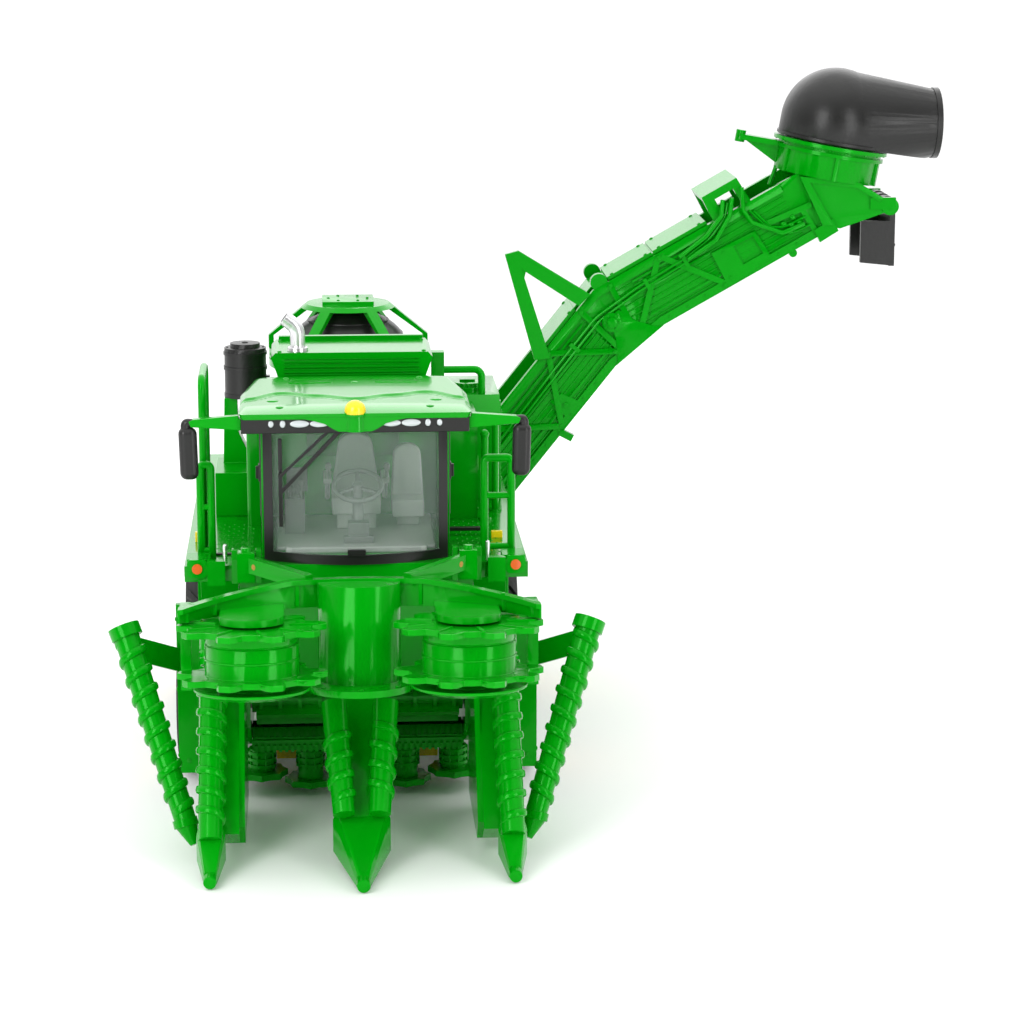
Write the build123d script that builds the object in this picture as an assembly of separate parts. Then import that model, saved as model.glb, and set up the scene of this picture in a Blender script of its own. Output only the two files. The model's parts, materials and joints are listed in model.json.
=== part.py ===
from build123d import *

import math
import os

os.makedirs("parts", exist_ok=True)

# Scale model of a two-row sugarcane harvester, in millimetres.
# Machine coordinates: the front axle's point on the floor is zero, the machine
# looks along -Y, +X is its left side and +Z is up.

# Shift from machine coordinates to the middle of the standing outline
middle_x = 41.4
middle_y = 5.8

# Running gear
front_tyre_radius = 13.5
rear_tyre_radius = 16.0
front_tyre_width = 11.5
rear_tyre_width = 13.0
front_rim_radius = 7.6
rear_rim_radius = 9.2
front_hub_radius = 3.0
rear_hub_radius = 3.4
wheelbase = 58.0
front_wheel_gap = 1.8
rear_wheel_gap = 0.6
axle_radius = 1.5
axle_gap = 0.06
rim_wall = 0.9
lug_height = 1.1
lug_width = 1.7
tyre_shoulder = 1.6
front_lug_count = 14
rear_lug_count = 16

# Main frame
frame_half_width = 22.0
frame_wall = 1.6
frame_front = -27.0
frame_rear = 73.0
frame_bottom = 13.0
keel_drop = 4.0
frame_top = 46.0
belly_thickness = 2.0
screw_radius = 1.0
screw_boss_radius = 2.4
screw_depth = 6.0
screw_front_y = 36.0
screw_spacing = 16.0
slew_bracket_thickness = 3.0
slew_bracket_half_width = 6.5
spigot_radius = 2.0
slew_gap = 0.3

# Deck and the boxes along the sides
deck_half_width = 32.0
deck_thickness = 3.0
deck_front = -33.0
deck_rear = 74.0
side_body_half_width = 31.0
side_body_front = 17.0
side_body_rear = 39.0
side_body_bottom = 16.0
locker_top = 69.5
tank_half_width = 30.3
tank_top = 70.3
cleaner_radius = 4.2

# Cab
cab_front = -34.0
cab_corner = -28.5
cab_rear = 4.0
glass_half_width = 17.2
cab_half_width = 17.6
cab_wall = 1.2
glass_top = 74.2
glass_thickness = 0.8
pillar_width = 1.7
sill_height = 1.5
light_bar_height = 2.7
roof_half_width = 21.4
roof_rear_half_width = 17.0
roof_lip = 1.0
roof_crown = 1.2
visor_half_width = 5.1
visor_tip_half_width = 2.6
beacon_radius = 2.0

# Engine housing behind the cab
hood_half_width = 15.9
hood_front = 6.0
hood_rear = 23.5
hood_top = 82.5
hood_rail_height = 0.8
rear_box_half_width = 14.0
rear_box_top = 76.0
bay_half_width = 19.0
bay_top = 70.0
bay_rear = 46.5
louvre_width = 0.45
louvre_pitch = 1.1
exhaust_radius = 1.35
flange_step = 0.6

# Primary extractor at the rear
extractor_y = 65.5
extractor_radius = 15.6
extractor_flange_radius = 17.2
extractor_flange_z = 72.0
extractor_top = 84.6
cage_wall = 1.1
cage_bars = 6
cage_bar_width = 2.4

# Elevator
slew_y = 84.0
lift_reach = 15.0
lift_height = 23.7
lift_stud_radius = 1.5
boom_width = 17.0
boom_depth = 14.5
boom_wall = 1.2
lower_angle = 51.5
upper_angle = 29.5
lower_length = 70.4
upper_length = 51.5
knee_chamfer = 7.0
flange_width = 1.9
flange_proud = 0.7
rib_width = 0.5
rib_proud = 0.5
brace_width = 1.3
brace_proud = 0.9
slat_height = 2.0
slat_pitch = 5.0
ring_radius = 11.5
ring_height = 7.4
ring_wall = 1.2
ring_tilt = 10.0
ring_ahead = 3.36
ring_above = 7.84
hood_turn_gap = 0.3
spout_mouth_radius = 7.3
spout_lip = 0.5
flap_ahead = 15.86
flap_below = 1.66

# Topper
topper_x = 18.9
topper_y = -72.0
topper_z = 42.7
topper_tilt = 5.0
topper_half_width = 31.6
band_radius = 39.0
band_back = 18.5
band_wall = 1.6
band_low = 5.2
band_high = 10.2
band_drop = 2.6
band_level = 12.0
band_rim = 0.9
drum_radius = 8.2
drum_height = 8.4
drum_pin_radius = 1.2
star_radius = 13.2
star_root = 10.6
star_teeth = 9
star_thickness = 1.1
dish_radius = 10.2
dish_drop = 1.0
arm_pivot_x = 20.4
arm_pivot_y = -35.0
arm_pivot_z = 51.0
arm_pin_radius = 0.8
arm_half_width = 1.6
arm_gap = 0.1

# Row dividers
row_centre = 13.9
divider_stand = 5.0
tip_y = -77.5
side_tip_setback = 3.5
flight_pitch = 4.4
flight_thickness = 0.9
flight_slant = 18.0
guard_half_width = 34.0
guard_thickness = 1.5
centre_nose_top = 9.8
side_nose_top = 8.4
side_nose_back = -64.5
outer_lean = 11.2
outer_foot_z = 6.8

deck_top = frame_top + deck_thickness
cab_top = glass_top + light_bar_height
roof_top = cab_top + roof_lip + roof_crown
front_wheel_face = frame_half_width + front_wheel_gap + front_tyre_width
rear_wheel_face = frame_half_width + rear_wheel_gap + rear_tyre_width
divider_x = frame_half_width + divider_stand
near = slew_y - boom_width / 2
far = slew_y + boom_width / 2


def span_box(x_range, y_range, z_range):
    """A box between pairs of coordinates."""
    size = [high - low for low, high in (x_range, y_range, z_range)]
    centre = [(high + low) / 2 for low, high in (x_range, y_range, z_range)]
    return Pos(*centre) * Box(*size)


def side_plate(outline, x_low, x_high):
    """An outline of (y, z) points as a plate between two X values."""
    face = make_face(Polyline(*outline, close=True))
    return extrude(Plane.YZ.offset(x_low) * face, amount=x_high - x_low)


def front_plate(outline, y_low, y_high):
    """An outline of (x, z) points as a plate between two Y values."""
    face = make_face(Polyline(*outline, close=True))
    return extrude(Plane.XZ.offset(-y_high) * face, amount=y_high - y_low)


def flat_plate(outline, z_low, z_high):
    """An outline of (x, y) points as a plate between two heights."""
    face = make_face(Polyline(*outline, close=True))
    return extrude(Plane.XY.offset(z_low) * face, amount=z_high - z_low)


def bar_outline(start, end, width):
    """The corners of a straight flat bar between two points of a plane."""
    along = (Vector(*end) - Vector(*start)).normalized()
    side = Vector(-along.Y, along.X) * (width / 2)
    corners = [Vector(*start) - side, Vector(*end) - side, Vector(*end) + side, Vector(*start) + side]
    return [(corner.X, corner.Y) for corner in corners]


def line_plane(start, end):
    """A plane at start with its Z towards end, and the length between them."""
    direction = Vector(*end) - Vector(*start)
    return Plane(origin=start, z_dir=direction), direction.length


def rod(start, end, radius):
    """A round bar from one point to another."""
    plane, length = line_plane(start, end)
    return plane * extrude(Circle(radius), amount=length)


def upright(radius, x, y, z_low, z_high):
    """A round post."""
    return Pos(x, y, z_low) * extrude(Circle(radius), amount=z_high - z_low)


def rounded_post(x_range, y_range, z_range, radius):
    """A box with its upright edges rounded."""
    width = x_range[1] - x_range[0]
    depth = y_range[1] - y_range[0]
    section = Pos(sum(x_range) / 2, sum(y_range) / 2, z_range[0]) * RectangleRounded(width, depth, radius)
    return extrude(section, amount=z_range[1] - z_range[0])


def pipe(points, radius, bend):
    """A round bar bent at the corners of a route."""
    route = FilletPolyline(*points, radius=bend)
    section = Plane(origin=route @ 0, z_dir=route % 0) * Circle(radius)
    return sweep(section, path=route)


def mirrored(shape):
    """The mirror image across the machine's centre plane."""
    return mirror(shape, about=Plane.YZ)


def both_sides(shape):
    """A shape and its mirror image across the machine's centre plane."""
    return shape + mirrored(shape)


def both_cheeks(shape):
    """A shape and its mirror image across the elevator's centre plane."""
    return shape + mirror(shape, about=Plane.XZ.offset(-slew_y))


def wheel_place(axle_y, axle_z, side):
    """The frame of a wheel whose Z is the axle, pointing outwards."""
    return Plane(origin=(0, axle_y, axle_z), x_dir=(0, 1, 0), z_dir=(side, 0, 0))


def tyre(radius, width, rim_radius, lugs):
    """A tyre round Z from 0 to its width, with slanted lugs in two rows."""
    carcass = radius - lug_height
    outline = [
        (rim_radius, rim_wall),
        (rim_radius + 1.2, 0),
        (carcass - tyre_shoulder, 0.5),
        (carcass, tyre_shoulder + 0.5),
        (carcass, width - tyre_shoulder - 0.5),
        (carcass - tyre_shoulder, width - 0.5),
        (rim_radius + 1.2, width),
        (rim_radius, width - rim_wall),
    ]
    body = revolve(Plane.XZ * make_face(Polyline(*outline, close=True)), axis=Axis.Z)
    block = Box(lug_height * 2, lug_width, width * 0.5)
    lug = Pos(carcass, 0, width * 0.27) * Rot(35, 0, 0) * block
    other = Pos(carcass, 0, width * 0.73) * Rot(-35, 0, 0) * block
    pitch = 360 / lugs
    bars = [Rot(0, 0, pitch * turn) * lug for turn in range(lugs)]
    bars += [Rot(0, 0, pitch * (turn + 0.5)) * other for turn in range(lugs)]
    ring = extrude(Circle(radius) - Circle(rim_radius + 2), amount=width)
    return body + (Compound(children=bars) & ring)


def rim(rim_radius, width, hub_radius):
    """A dished rim round Z with a stepped hub on the axle."""
    bore = axle_radius + axle_gap
    well = rim_radius - rim_wall
    outline = [
        (bore, width * 0.25),
        (hub_radius, width * 0.25),
        (hub_radius, width * 0.4),
        (well, width * 0.4),
        (well, rim_wall),
        (rim_radius, rim_wall),
        (rim_radius, width - rim_wall),
        (well, width - rim_wall),
        (well - 0.5, width * 0.66),
        (hub_radius + 1.6, width * 0.56),
        (hub_radius + 1.2, width * 0.66),
        (hub_radius, width * 0.66),
        (hub_radius - 0.6, width * 0.82),
        (bore, width * 0.82),
    ]
    return revolve(Plane.XZ * make_face(Polyline(*outline, close=True)), axis=Axis.Z)


nodes = {}

# Wheels and axles
# columns: name, axle Y, tyre radius, tyre width, rim radius, hub radius, lugs, outer face
wheel_table = [
    ("front", 0.0, front_tyre_radius, front_tyre_width, front_rim_radius, front_hub_radius,
     front_lug_count, front_wheel_face),
    ("rear", wheelbase, rear_tyre_radius, rear_tyre_width, rear_rim_radius, rear_hub_radius,
     rear_lug_count, rear_wheel_face),
]
for end_name, axle_y, tyre_radius, tyre_width, rim_radius, hub_radius, lugs, face in wheel_table:
    inner = face - tyre_width
    for side_name, side in (("left", 1), ("right", -1)):
        place = wheel_place(axle_y, tyre_radius, side) * Pos(0, 0, inner)
        nodes[f"{end_name}_{side_name}_tyre"] = place * tyre(tyre_radius, tyre_width, rim_radius, lugs)
        nodes[f"{end_name}_{side_name}_rim"] = place * rim(rim_radius, tyre_width, hub_radius)
    axle_end = face - tyre_width * 0.16
    bar = rod((-axle_end, axle_y, tyre_radius), (axle_end, axle_y, tyre_radius), axle_radius)
    collar_end = inner + tyre_width * 0.25 - slew_gap
    collar = rod((frame_half_width, axle_y, tyre_radius), (collar_end, axle_y, tyre_radius), hub_radius)
    nodes[f"{end_name}_axle"] = bar + both_sides(collar)

# Main frame: two side walls, belly, cross walls and the slew brackets
keel = frame_bottom - keel_drop
side_outline = [
    (frame_front, keel + 7),
    (frame_front + 12, keel),
    (13, keel),
    (30, frame_bottom),
    (frame_rear, frame_bottom),
    (frame_rear, frame_top),
    (frame_front, frame_top),
]
inside = frame_half_width - frame_wall
frame = both_sides(side_plate(side_outline, inside, frame_half_width))
belly_top = frame_bottom + belly_thickness
frame += span_box((-inside, inside), (20, frame_rear), (frame_bottom, belly_top))
frame += span_box((-inside, inside), (frame_rear - 2, frame_rear), (frame_bottom, frame_top))
frame += span_box((-inside, inside), (frame_front, frame_front + frame_wall), (36, frame_top))
frame += span_box((-1.2, 1.2), (frame_front, 30), (keel, frame_top))
hub_half_height = 7.7
for bracket_z in (lift_height - hub_half_height - slew_gap - slew_bracket_thickness,
                  lift_height + hub_half_height + slew_gap):
    reach = (-slew_bracket_half_width, slew_bracket_half_width)
    arm = span_box(reach, (frame_rear, slew_y), (bracket_z, bracket_z + slew_bracket_thickness))
    arm += upright(slew_bracket_half_width, 0, slew_y, bracket_z, bracket_z + slew_bracket_thickness)
    frame += arm
gusset = [(frame_rear, frame_bottom), (frame_rear + 1.2, frame_bottom), (frame_rear + 1.2, frame_top - 4),
          (frame_rear, frame_top - 1)]
for gusset_x in (10.0, 17.5):
    frame += both_sides(side_plate(gusset, gusset_x - 0.6, gusset_x + 0.6))
for boss_y in (screw_front_y, screw_front_y + screw_spacing):
    frame += upright(screw_boss_radius, 0, boss_y, frame_bottom, frame_bottom + screw_depth + 1.5)
    frame -= upright(screw_radius, 0, boss_y, frame_bottom, frame_bottom + screw_depth)
for axle_y, tyre_radius in ((0.0, front_tyre_radius), (wheelbase, rear_tyre_radius)):
    half = frame_half_width + 1
    frame -= rod((-half, axle_y, tyre_radius), (half, axle_y, tyre_radius), axle_radius)
hub_low = lift_height - hub_half_height
hub_high = lift_height + hub_half_height
frame -= upright(spigot_radius + axle_gap, 0, slew_y, hub_low - 5, hub_high + 5)
nodes["main_frame"] = frame

# Deck with the ears that carry the topper arms
deck = span_box((-deck_half_width, deck_half_width), (deck_front, deck_rear), (frame_top, deck_top))
ear_outline = [
    (deck_front, frame_top),
    (deck_front - 2, frame_top),
    (arm_pivot_y - 1.6, arm_pivot_z),
    (arm_pivot_y - 1.0, arm_pivot_z + 1.6),
    (arm_pivot_y + 1.0, arm_pivot_z + 1.6),
    (deck_front + 2, deck_top),
    (deck_front, deck_top),
]
ear_start = arm_half_width + arm_gap
ear_end = ear_start + 1.0
ears = side_plate(ear_outline, arm_pivot_x - ear_end, arm_pivot_x - ear_start)
ears += side_plate(ear_outline, arm_pivot_x + ear_start, arm_pivot_x + ear_end)
ears += rod(
    (arm_pivot_x - ear_end, arm_pivot_y, arm_pivot_z),
    (arm_pivot_x + ear_end, arm_pivot_y, arm_pivot_z),
    arm_pin_radius,
)
nodes["deck"] = deck + both_sides(ears)

# Side bodies between the wheels, with a stepped panel and louvres
side_body = span_box(
    (frame_half_width, side_body_half_width),
    (side_body_front, side_body_rear),
    (side_body_bottom, frame_top),
)
side_body += span_box(
    (side_body_half_width, side_body_half_width + 0.7),
    (side_body_front + 2, side_body_rear - 2),
    (side_body_bottom + 3, frame_top - 4),
)
for row in range(7):
    low = side_body_bottom + 6 + row * louvre_pitch * 2
    side_body -= span_box(
        (side_body_half_width + 0.3, side_body_half_width + 1),
        (side_body_front + 4, side_body_rear - 4),
        (low, low + louvre_pitch),
    )
nodes["side_bodies"] = both_sides(side_body)

# Front side walls of the crop throats
guard_back = frame_front - 0.0
guard_front = guard_back - guard_thickness
throat_inner = frame_half_width - 1.0
guard = span_box((throat_inner, guard_half_width), (guard_front, guard_back), (7.6, 40.6))
guard += side_plate(
    [(guard_front, 40.6), (guard_front, 3), (-57, 3), (-60, 7), (-44, 34), (-38, 40.6)],
    throat_inner,
    frame_half_width,
)

# Cab shell: floor, side walls with door windows, rear wall and header
floor_z = deck_top + sill_height
side_wall_front = cab_corner + pillar_width
shell = flat_plate(
    [
        (-cab_half_width, side_wall_front),
        (-cab_half_width, cab_rear),
        (cab_half_width, cab_rear),
        (cab_half_width, side_wall_front),
        (glass_half_width - glass_thickness, side_wall_front),
        (8.5, cab_front + 2.6),
        (-8.5, cab_front + 2.6),
        (-glass_half_width + glass_thickness, side_wall_front),
    ],
    deck_top,
    floor_z,
)
shell += span_box(
    (-cab_half_width, cab_half_width), (cab_rear - cab_wall, cab_rear), (floor_z, cab_top)
)
side_wall = span_box(
    (cab_half_width - cab_wall, cab_half_width), (side_wall_front, cab_rear - cab_wall), (floor_z, cab_top)
)
window_range = ((side_wall_front + 2.5, cab_rear - 5.5), (floor_z + 6, glass_top - 1.5))
side_wall -= span_box((cab_half_width - cab_wall - 1, cab_half_width + 1), *window_range)
shell += both_sides(side_wall)
shell -= span_box((-9, 9), (cab_rear - cab_wall - 1, cab_rear + 1), (floor_z + 12, glass_top - 2))
nodes["cab_shell"] = shell
door_pane = span_box(
    (cab_half_width - cab_wall + 0.3, cab_half_width - 0.3), window_range[0], window_range[1]
)
nodes["side_windows"] = both_sides(door_pane)


def bowed_outline(half_width, front_y, back_y, corner_y):
    """A plan outline with a bowed front, straight sides and a straight back."""
    return make_face(
        ThreePointArc((-half_width, corner_y), (0, front_y), (half_width, corner_y))
        + Line((half_width, corner_y), (half_width, back_y))
        + Line((half_width, back_y), (-half_width, back_y))
        + Line((-half_width, back_y), (-half_width, corner_y))
    )


# Windscreen: a bowed pane in a black frame of two pillars and a sill
pane_outer = bowed_outline(glass_half_width, cab_front, cab_corner + pillar_width, cab_corner)
pane_inner = bowed_outline(
    glass_half_width - glass_thickness, cab_front + glass_thickness, cab_corner + pillar_width + 1,
    cab_corner + glass_thickness * 0.4,
)
glass_ring = extrude(Plane.XY.offset(deck_top) * (pane_outer - pane_inner), amount=glass_top - deck_top)
pillar_zone = both_sides(
    span_box(
        (glass_half_width - pillar_width, glass_half_width + 1),
        (cab_front, cab_corner + pillar_width),
        (deck_top, glass_top),
    )
)
sill_zone = span_box((-20, 20), (cab_front - 1, cab_corner + pillar_width), (deck_top, floor_z + 0.3))
nodes["windscreen"] = glass_ring - pillar_zone - sill_zone
nodes["windscreen_frame"] = (glass_ring & (pillar_zone + sill_zone)) - shell

# Wiper: a blade, two parallel arms and a pivot above the glass
wiper = span_box((-14.3, -13.6), (-31.9, -31.2), (56.0, 72.6))
wiper += front_plate(bar_outline((-14.0, 62.9), (-2.2, glass_top + 1), 0.7), cab_front - 0.6, cab_front)
wiper += front_plate(bar_outline((-14.0, 66.0), (-4.2, glass_top + 1), 0.5), cab_front - 0.6, cab_front)
wiper += span_box((-14.3, -13.6), (cab_front - 0.6, -31.2), (62.4, 66.4))

# Cab interior: floor, driver's seat, side seat, console, column and wheel
seat_floor = floor_z + 0.8
cabin = span_box((-15, 15), (-26, 0), (floor_z, seat_floor))
# columns: seat centre X, half width, back height, cushion front, seat height
seat_table = [
    (-1.0, 4.6, 17.5, -14.5, 6.0),
    (9.6, 3.4, 15.5, -12.5, 5.0),
]
for seat_x, half, back, cushion_front, seat_height in seat_table:
    seat_range = (seat_x - half, seat_x + half)
    cabin += rounded_post(seat_range, (cushion_front, -6), (seat_floor, seat_floor + seat_height), 1.5)
    back_plate = [
        (seat_x - half, seat_floor + seat_height - 1),
        (seat_x + half, seat_floor + seat_height - 1),
        (seat_x + half * 0.95, seat_floor + back * 0.75),
        (seat_x + half * 0.55, seat_floor + back),
        (seat_x - half * 0.55, seat_floor + back),
        (seat_x - half * 0.95, seat_floor + back * 0.75),
    ]
    cabin += front_plate(back_plate, -7.4, -4.8)
for rest_x in (-6.6, 4.6):
    cabin += span_box((rest_x - 0.9, rest_x + 0.9), (-14, -7), (seat_floor, seat_floor + 8.5))
cabin += front_plate(
    [(-13.5, seat_floor), (-8.8, seat_floor), (-8.8, seat_floor + 8), (-10.5, seat_floor + 11),
     (-13.5, seat_floor + 9)],
    -17,
    -9,
)
cabin += rod((-1, -24, seat_floor), (-1, -19.5, seat_floor + 9.5), 1.5)
cabin += Plane(origin=(-1, -19.5, seat_floor + 9.5), z_dir=(0, 0.43, 0.9)) * extrude(Circle(3.6), amount=0.8)
nodes["cab_interior"] = cabin

# Cab roof: a lipped plate, a crowned top and the visor that splits the light bar
front_half = roof_half_width
rear_half = roof_rear_half_width
roof_front = cab_front - 1.4
# columns: X at the lip, X at the crown, Y at the lip, Y at the crown
roof_table = [
    (front_half, front_half - 1.6, roof_front, roof_front + 1.2),
    (front_half, front_half - 1.8, -16.0, -16.5),
    (rear_half + 2.4, rear_half - 0.2, -1.5, -5.0),
    (rear_half - 1.0, rear_half - 3.0, cab_rear + 0.6, cab_rear - 6.5),
]
lip_half = [(row[0], row[2]) for row in roof_table]
crown_half = [(row[1], row[3]) for row in roof_table]
lip_outline = lip_half + [(-x, y) for x, y in reversed(lip_half)]
crown_outline = crown_half + [(-x, y) for x, y in reversed(crown_half)]
lip_face = make_face(Polyline(*lip_outline, close=True))
crown_face = make_face(Polyline(*crown_outline, close=True))
roof = extrude(Plane.XY.offset(cab_top) * lip_face, amount=roof_lip)
roof += loft(
    [Plane.XY.offset(cab_top + roof_lip) * lip_face, Plane.XY.offset(roof_top) * crown_face], ruled=True
)
visor = front_plate(
    [
        (-visor_half_width, cab_top),
        (-visor_tip_half_width, glass_top + 0.4),
        (visor_tip_half_width, glass_top + 0.4),
        (visor_half_width, cab_top),
    ],
    roof_front,
    cab_front + 1.0,
)
pedestal_y = roof_front + 1.2
visor += upright(beacon_radius - 0.1, 0, pedestal_y, glass_top + 0.6, cab_top)
roof += visor
roof -= upright(beacon_radius + 0.1, 0, pedestal_y, cab_top + 0.6, roof_top + 1)
nodes["cab_roof"] = roof
beacon_base = cab_top + 0.6
beacon = upright(beacon_radius, 0, pedestal_y, beacon_base, beacon_base + 0.6)
beacon += Pos(0, pedestal_y, beacon_base + 0.6) * (Sphere(beacon_radius) & span_box((-3, 3), (-3, 3), (0, 3)))
nodes["beacon"] = beacon
bar_half = roof_half_width - 0.4
fascia = flat_plate(
    [(-bar_half, cab_front - 0.9), (bar_half, cab_front - 0.9), (bar_half, cab_rear - 12),
     (-bar_half, cab_rear - 12)],
    glass_top,
    cab_top,
)
fascia -= span_box((-bar_half + 2, bar_half - 2), (cab_front + 1.0, 0), (glass_top - 1, cab_top + 1))
nodes["light_bar"] = fascia - visor
wiper -= nodes["cab_roof"]
nodes["wiper"] = (wiper - nodes["light_bar"]) - nodes["windscreen"]

# Mirrors: a tapered arm from the roof's side and a rounded head on a curved neck
mirror_x = 30.6
arm_outline = [
    (bar_half, glass_top + 0.5),
    (bar_half, cab_top + 0.6),
    (mirror_x - 0.8, cab_top - 0.1),
    (mirror_x, cab_top - 0.5),
    (mirror_x - 0.4, cab_top - 1.5),
]
mirror_arm = front_plate(arm_outline, cab_front, cab_front + 1.8)
nodes["mirror_arms"] = both_sides(mirror_arm - nodes["cab_roof"])
head = rounded_post(
    (mirror_x - 1.5, mirror_x + 2.2), (cab_front - 0.3, cab_front + 2.1), (glass_top - 8.4, cab_top - 1.9), 1.1
)
head += pipe(
    [
        (mirror_x - 0.6, cab_front + 0.9, cab_top - 0.9),
        (mirror_x + 0.5, cab_front + 0.9, cab_top - 0.9),
        (mirror_x + 0.5, cab_front + 0.9, glass_top - 1.0),
    ],
    0.75,
    1.0,
)
nodes["mirrors"] = both_sides(head) - nodes["mirror_arms"]

# Engine housing with a louvred front and side grilles
bay = span_box((-bay_half_width, bay_half_width), (hood_front, bay_rear), (deck_top, bay_top))
hood_waist = hood_top - 4.6
hood_outline = [
    (hood_half_width - 1.3, bay_top),
    (hood_half_width - 1.3, hood_waist),
    (hood_half_width, hood_top - 1.0),
    (hood_half_width - 0.9, hood_top),
]
hood_outline += [(-x, z) for x, z in reversed(hood_outline)]
hood = front_plate(hood_outline, hood_front, hood_rear)
for row in range(5):
    low = hood_waist - 0.6 + row * louvre_pitch * 0.85
    hood -= span_box((-13.2, 13.2), (hood_front - 1, hood_front + 0.3), (low, low + louvre_width * 0.6))
for row in range(12):
    low = deck_top + 4 + row * louvre_pitch
    slot = span_box(
        (bay_half_width - 0.5, bay_half_width + 1), (hood_front + 24, bay_rear - 3), (low, low + louvre_width)
    )
    bay -= mirrored(slot)
housing = bay + hood
rail_half = hood_half_width - 1.4
housing += span_box((-rail_half, rail_half), (hood_rear - 1.5, hood_rear), (hood_top, hood_top + hood_rail_height))
housing += span_box((-rear_box_half_width, rear_box_half_width), (hood_rear, bay_rear), (bay_top, rear_box_top))
housing += rounded_post((-20.9, -cab_half_width - 0.1), (1.2, hood_front + 0.4), (deck_top, 72.0), 0.8)
locker = span_box((bay_half_width, 24.6), (hood_front - 1, 22.6), (deck_top, locker_top))
housing += locker
nodes["engine_housing"] = housing

# Exhaust: a flanged elbow that turns to the right side
exhaust_x = -10.6
exhaust_y = hood_front + 2.6
exhaust = pipe(
    [
        (exhaust_x, exhaust_y, hood_top),
        (exhaust_x, exhaust_y, hood_top + 4.4),
        (exhaust_x - 2.4, exhaust_y, hood_top + 6.4),
    ],
    exhaust_radius,
    3.2,
)
exhaust += upright(exhaust_radius + flange_step, exhaust_x, exhaust_y, hood_top, hood_top + 0.8)
nodes["exhaust"] = exhaust - housing

# Air cleaner on its stand, above a box on the deck
stand_front = 20.5
stand_rear = 26.0
stand_outline = [
    (-26.0, 57.8),
    (-25.6, bay_top + 1),
    (-23.0, bay_top + 1),
    (-22.8, 64.0),
    (-21.0, 60.0),
    (-21.0, 57.8),
]
stand = front_plate(stand_outline, stand_front, stand_rear)
stand += span_box((-27.4, -bay_half_width - 0.2), (10, stand_rear), (deck_top, 57.8))
nodes["air_cleaner_stand"] = stand
cleaner_x = -21.3
cleaner_y = 23.2
cleaner_low = bay_top + 1
cleaner = upright(cleaner_radius, cleaner_x, cleaner_y, cleaner_low, 81.0)
# columns: ring height, ring thickness, how far the ring stands out
for ring_z, ring_thick, proud in ((cleaner_low, 0.8, 0.15), (76.6, 0.7, 0.2), (79.6, 0.6, 0.2)):
    cleaner += upright(cleaner_radius + proud, cleaner_x, cleaner_y, ring_z, ring_z + ring_thick)
cleaner += upright(cleaner_radius - 1.2, cleaner_x, cleaner_y, 81.0, 81.9)
cleaner += span_box((cleaner_x + 2, cleaner_x + 4.9), (cleaner_y - 0.8, cleaner_y + 0.8), (74.2, 75.2))
nodes["air_cleaner"] = cleaner - housing

# Tank with a sloped shoulder and a filler cap
tank_front = 22.8
tank_rear = 50.0
tank_outline = [
    (tank_front, deck_top),
    (tank_front, tank_top - 3.2),
    (tank_front + 2.6, tank_top),
    (tank_rear - 1.5, tank_top),
    (tank_rear, tank_top - 1.5),
    (tank_rear, deck_top),
]
tank = side_plate(tank_outline, bay_half_width + 0.2, tank_half_width)
for strap_y in (29.0, 43.0):
    tank += span_box((tank_half_width, tank_half_width + 0.5), (strap_y, strap_y + 1.6), (deck_top, tank_top - 2))
tank += upright(3.6, 24.0, 31.0, tank_top, tank_top + 1.0) + upright(2.9, 24.0, 31.0, tank_top + 1, tank_top + 1.8)
nodes["tank"] = tank

# Handrails, ladders and posts
rail_radius = 0.75
ladder_y = -26.0
# columns: left stile X, right stile X, top, rung heights
ladder_table = [
    (24.2, 29.3, 67.4, (60.2, 50.4)),
    (-29.0, -27.0, 66.8, (58.7, 50.4)),
]
rails = pipe(
    [(-28.4, -24, deck_top), (-28.4, -24, 82.6), (-28.4, -8, 82.6), (-28.4, -8, deck_top)], rail_radius, 2.0
)
for low_x, high_x, top_z, rungs in ladder_table:
    loop = [(low_x, ladder_y, deck_top), (low_x, ladder_y, top_z), (high_x, ladder_y, top_z),
            (high_x, ladder_y, deck_top)]
    rails += pipe(loop, rail_radius, 0.9)
    for rung_z in rungs:
        rails += rod((low_x, ladder_y, rung_z), (high_x, ladder_y, rung_z), rail_radius * 0.8)
for post_x, post_y, post_top in ((26.0, 4.0, 66.2), (28.6, 12.0, 68.0)):
    rails += upright(0.7, post_x, post_y, deck_top, post_top) + Pos(post_x, post_y, post_top) * Sphere(0.9)
rails += span_box((16.4, 19.0), (25.0, 28.0), (bay_top, 79.2))
rails += pipe([(19.0, 26.4, 75.4), (26.7, 26.4, 75.4), (26.7, 26.4, tank_top)], rail_radius, 1.6)
nodes["handrails"] = rails

# Lamp boxes on the deck's front corners
lamp_x = 29.6
lamp_z = 48.7
lamp_front = deck_front - 1.0
lamp_box = Plane.XZ.offset(-deck_front) * Pos(lamp_x, lamp_z) * RectangleRounded(3.8, 3.4, 0.9)
lamp_box = extrude(lamp_box, amount=1.0)
lamp_box += span_box((lamp_x - 2.4, lamp_x + 1.9), (deck_front, -27.6), (deck_top, deck_top + 1.3))
lamp_box += span_box((24.4, lamp_x - 1.9), (deck_front - 1.6, deck_front), (45.6, 50.2))
nodes["lamp_boxes"] = both_sides(lamp_box)
lamp = rod((lamp_x, lamp_front, lamp_z), (lamp_x, lamp_front - 0.4, lamp_z), 0.95)
nodes["front_lamps"] = both_sides(lamp)

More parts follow.
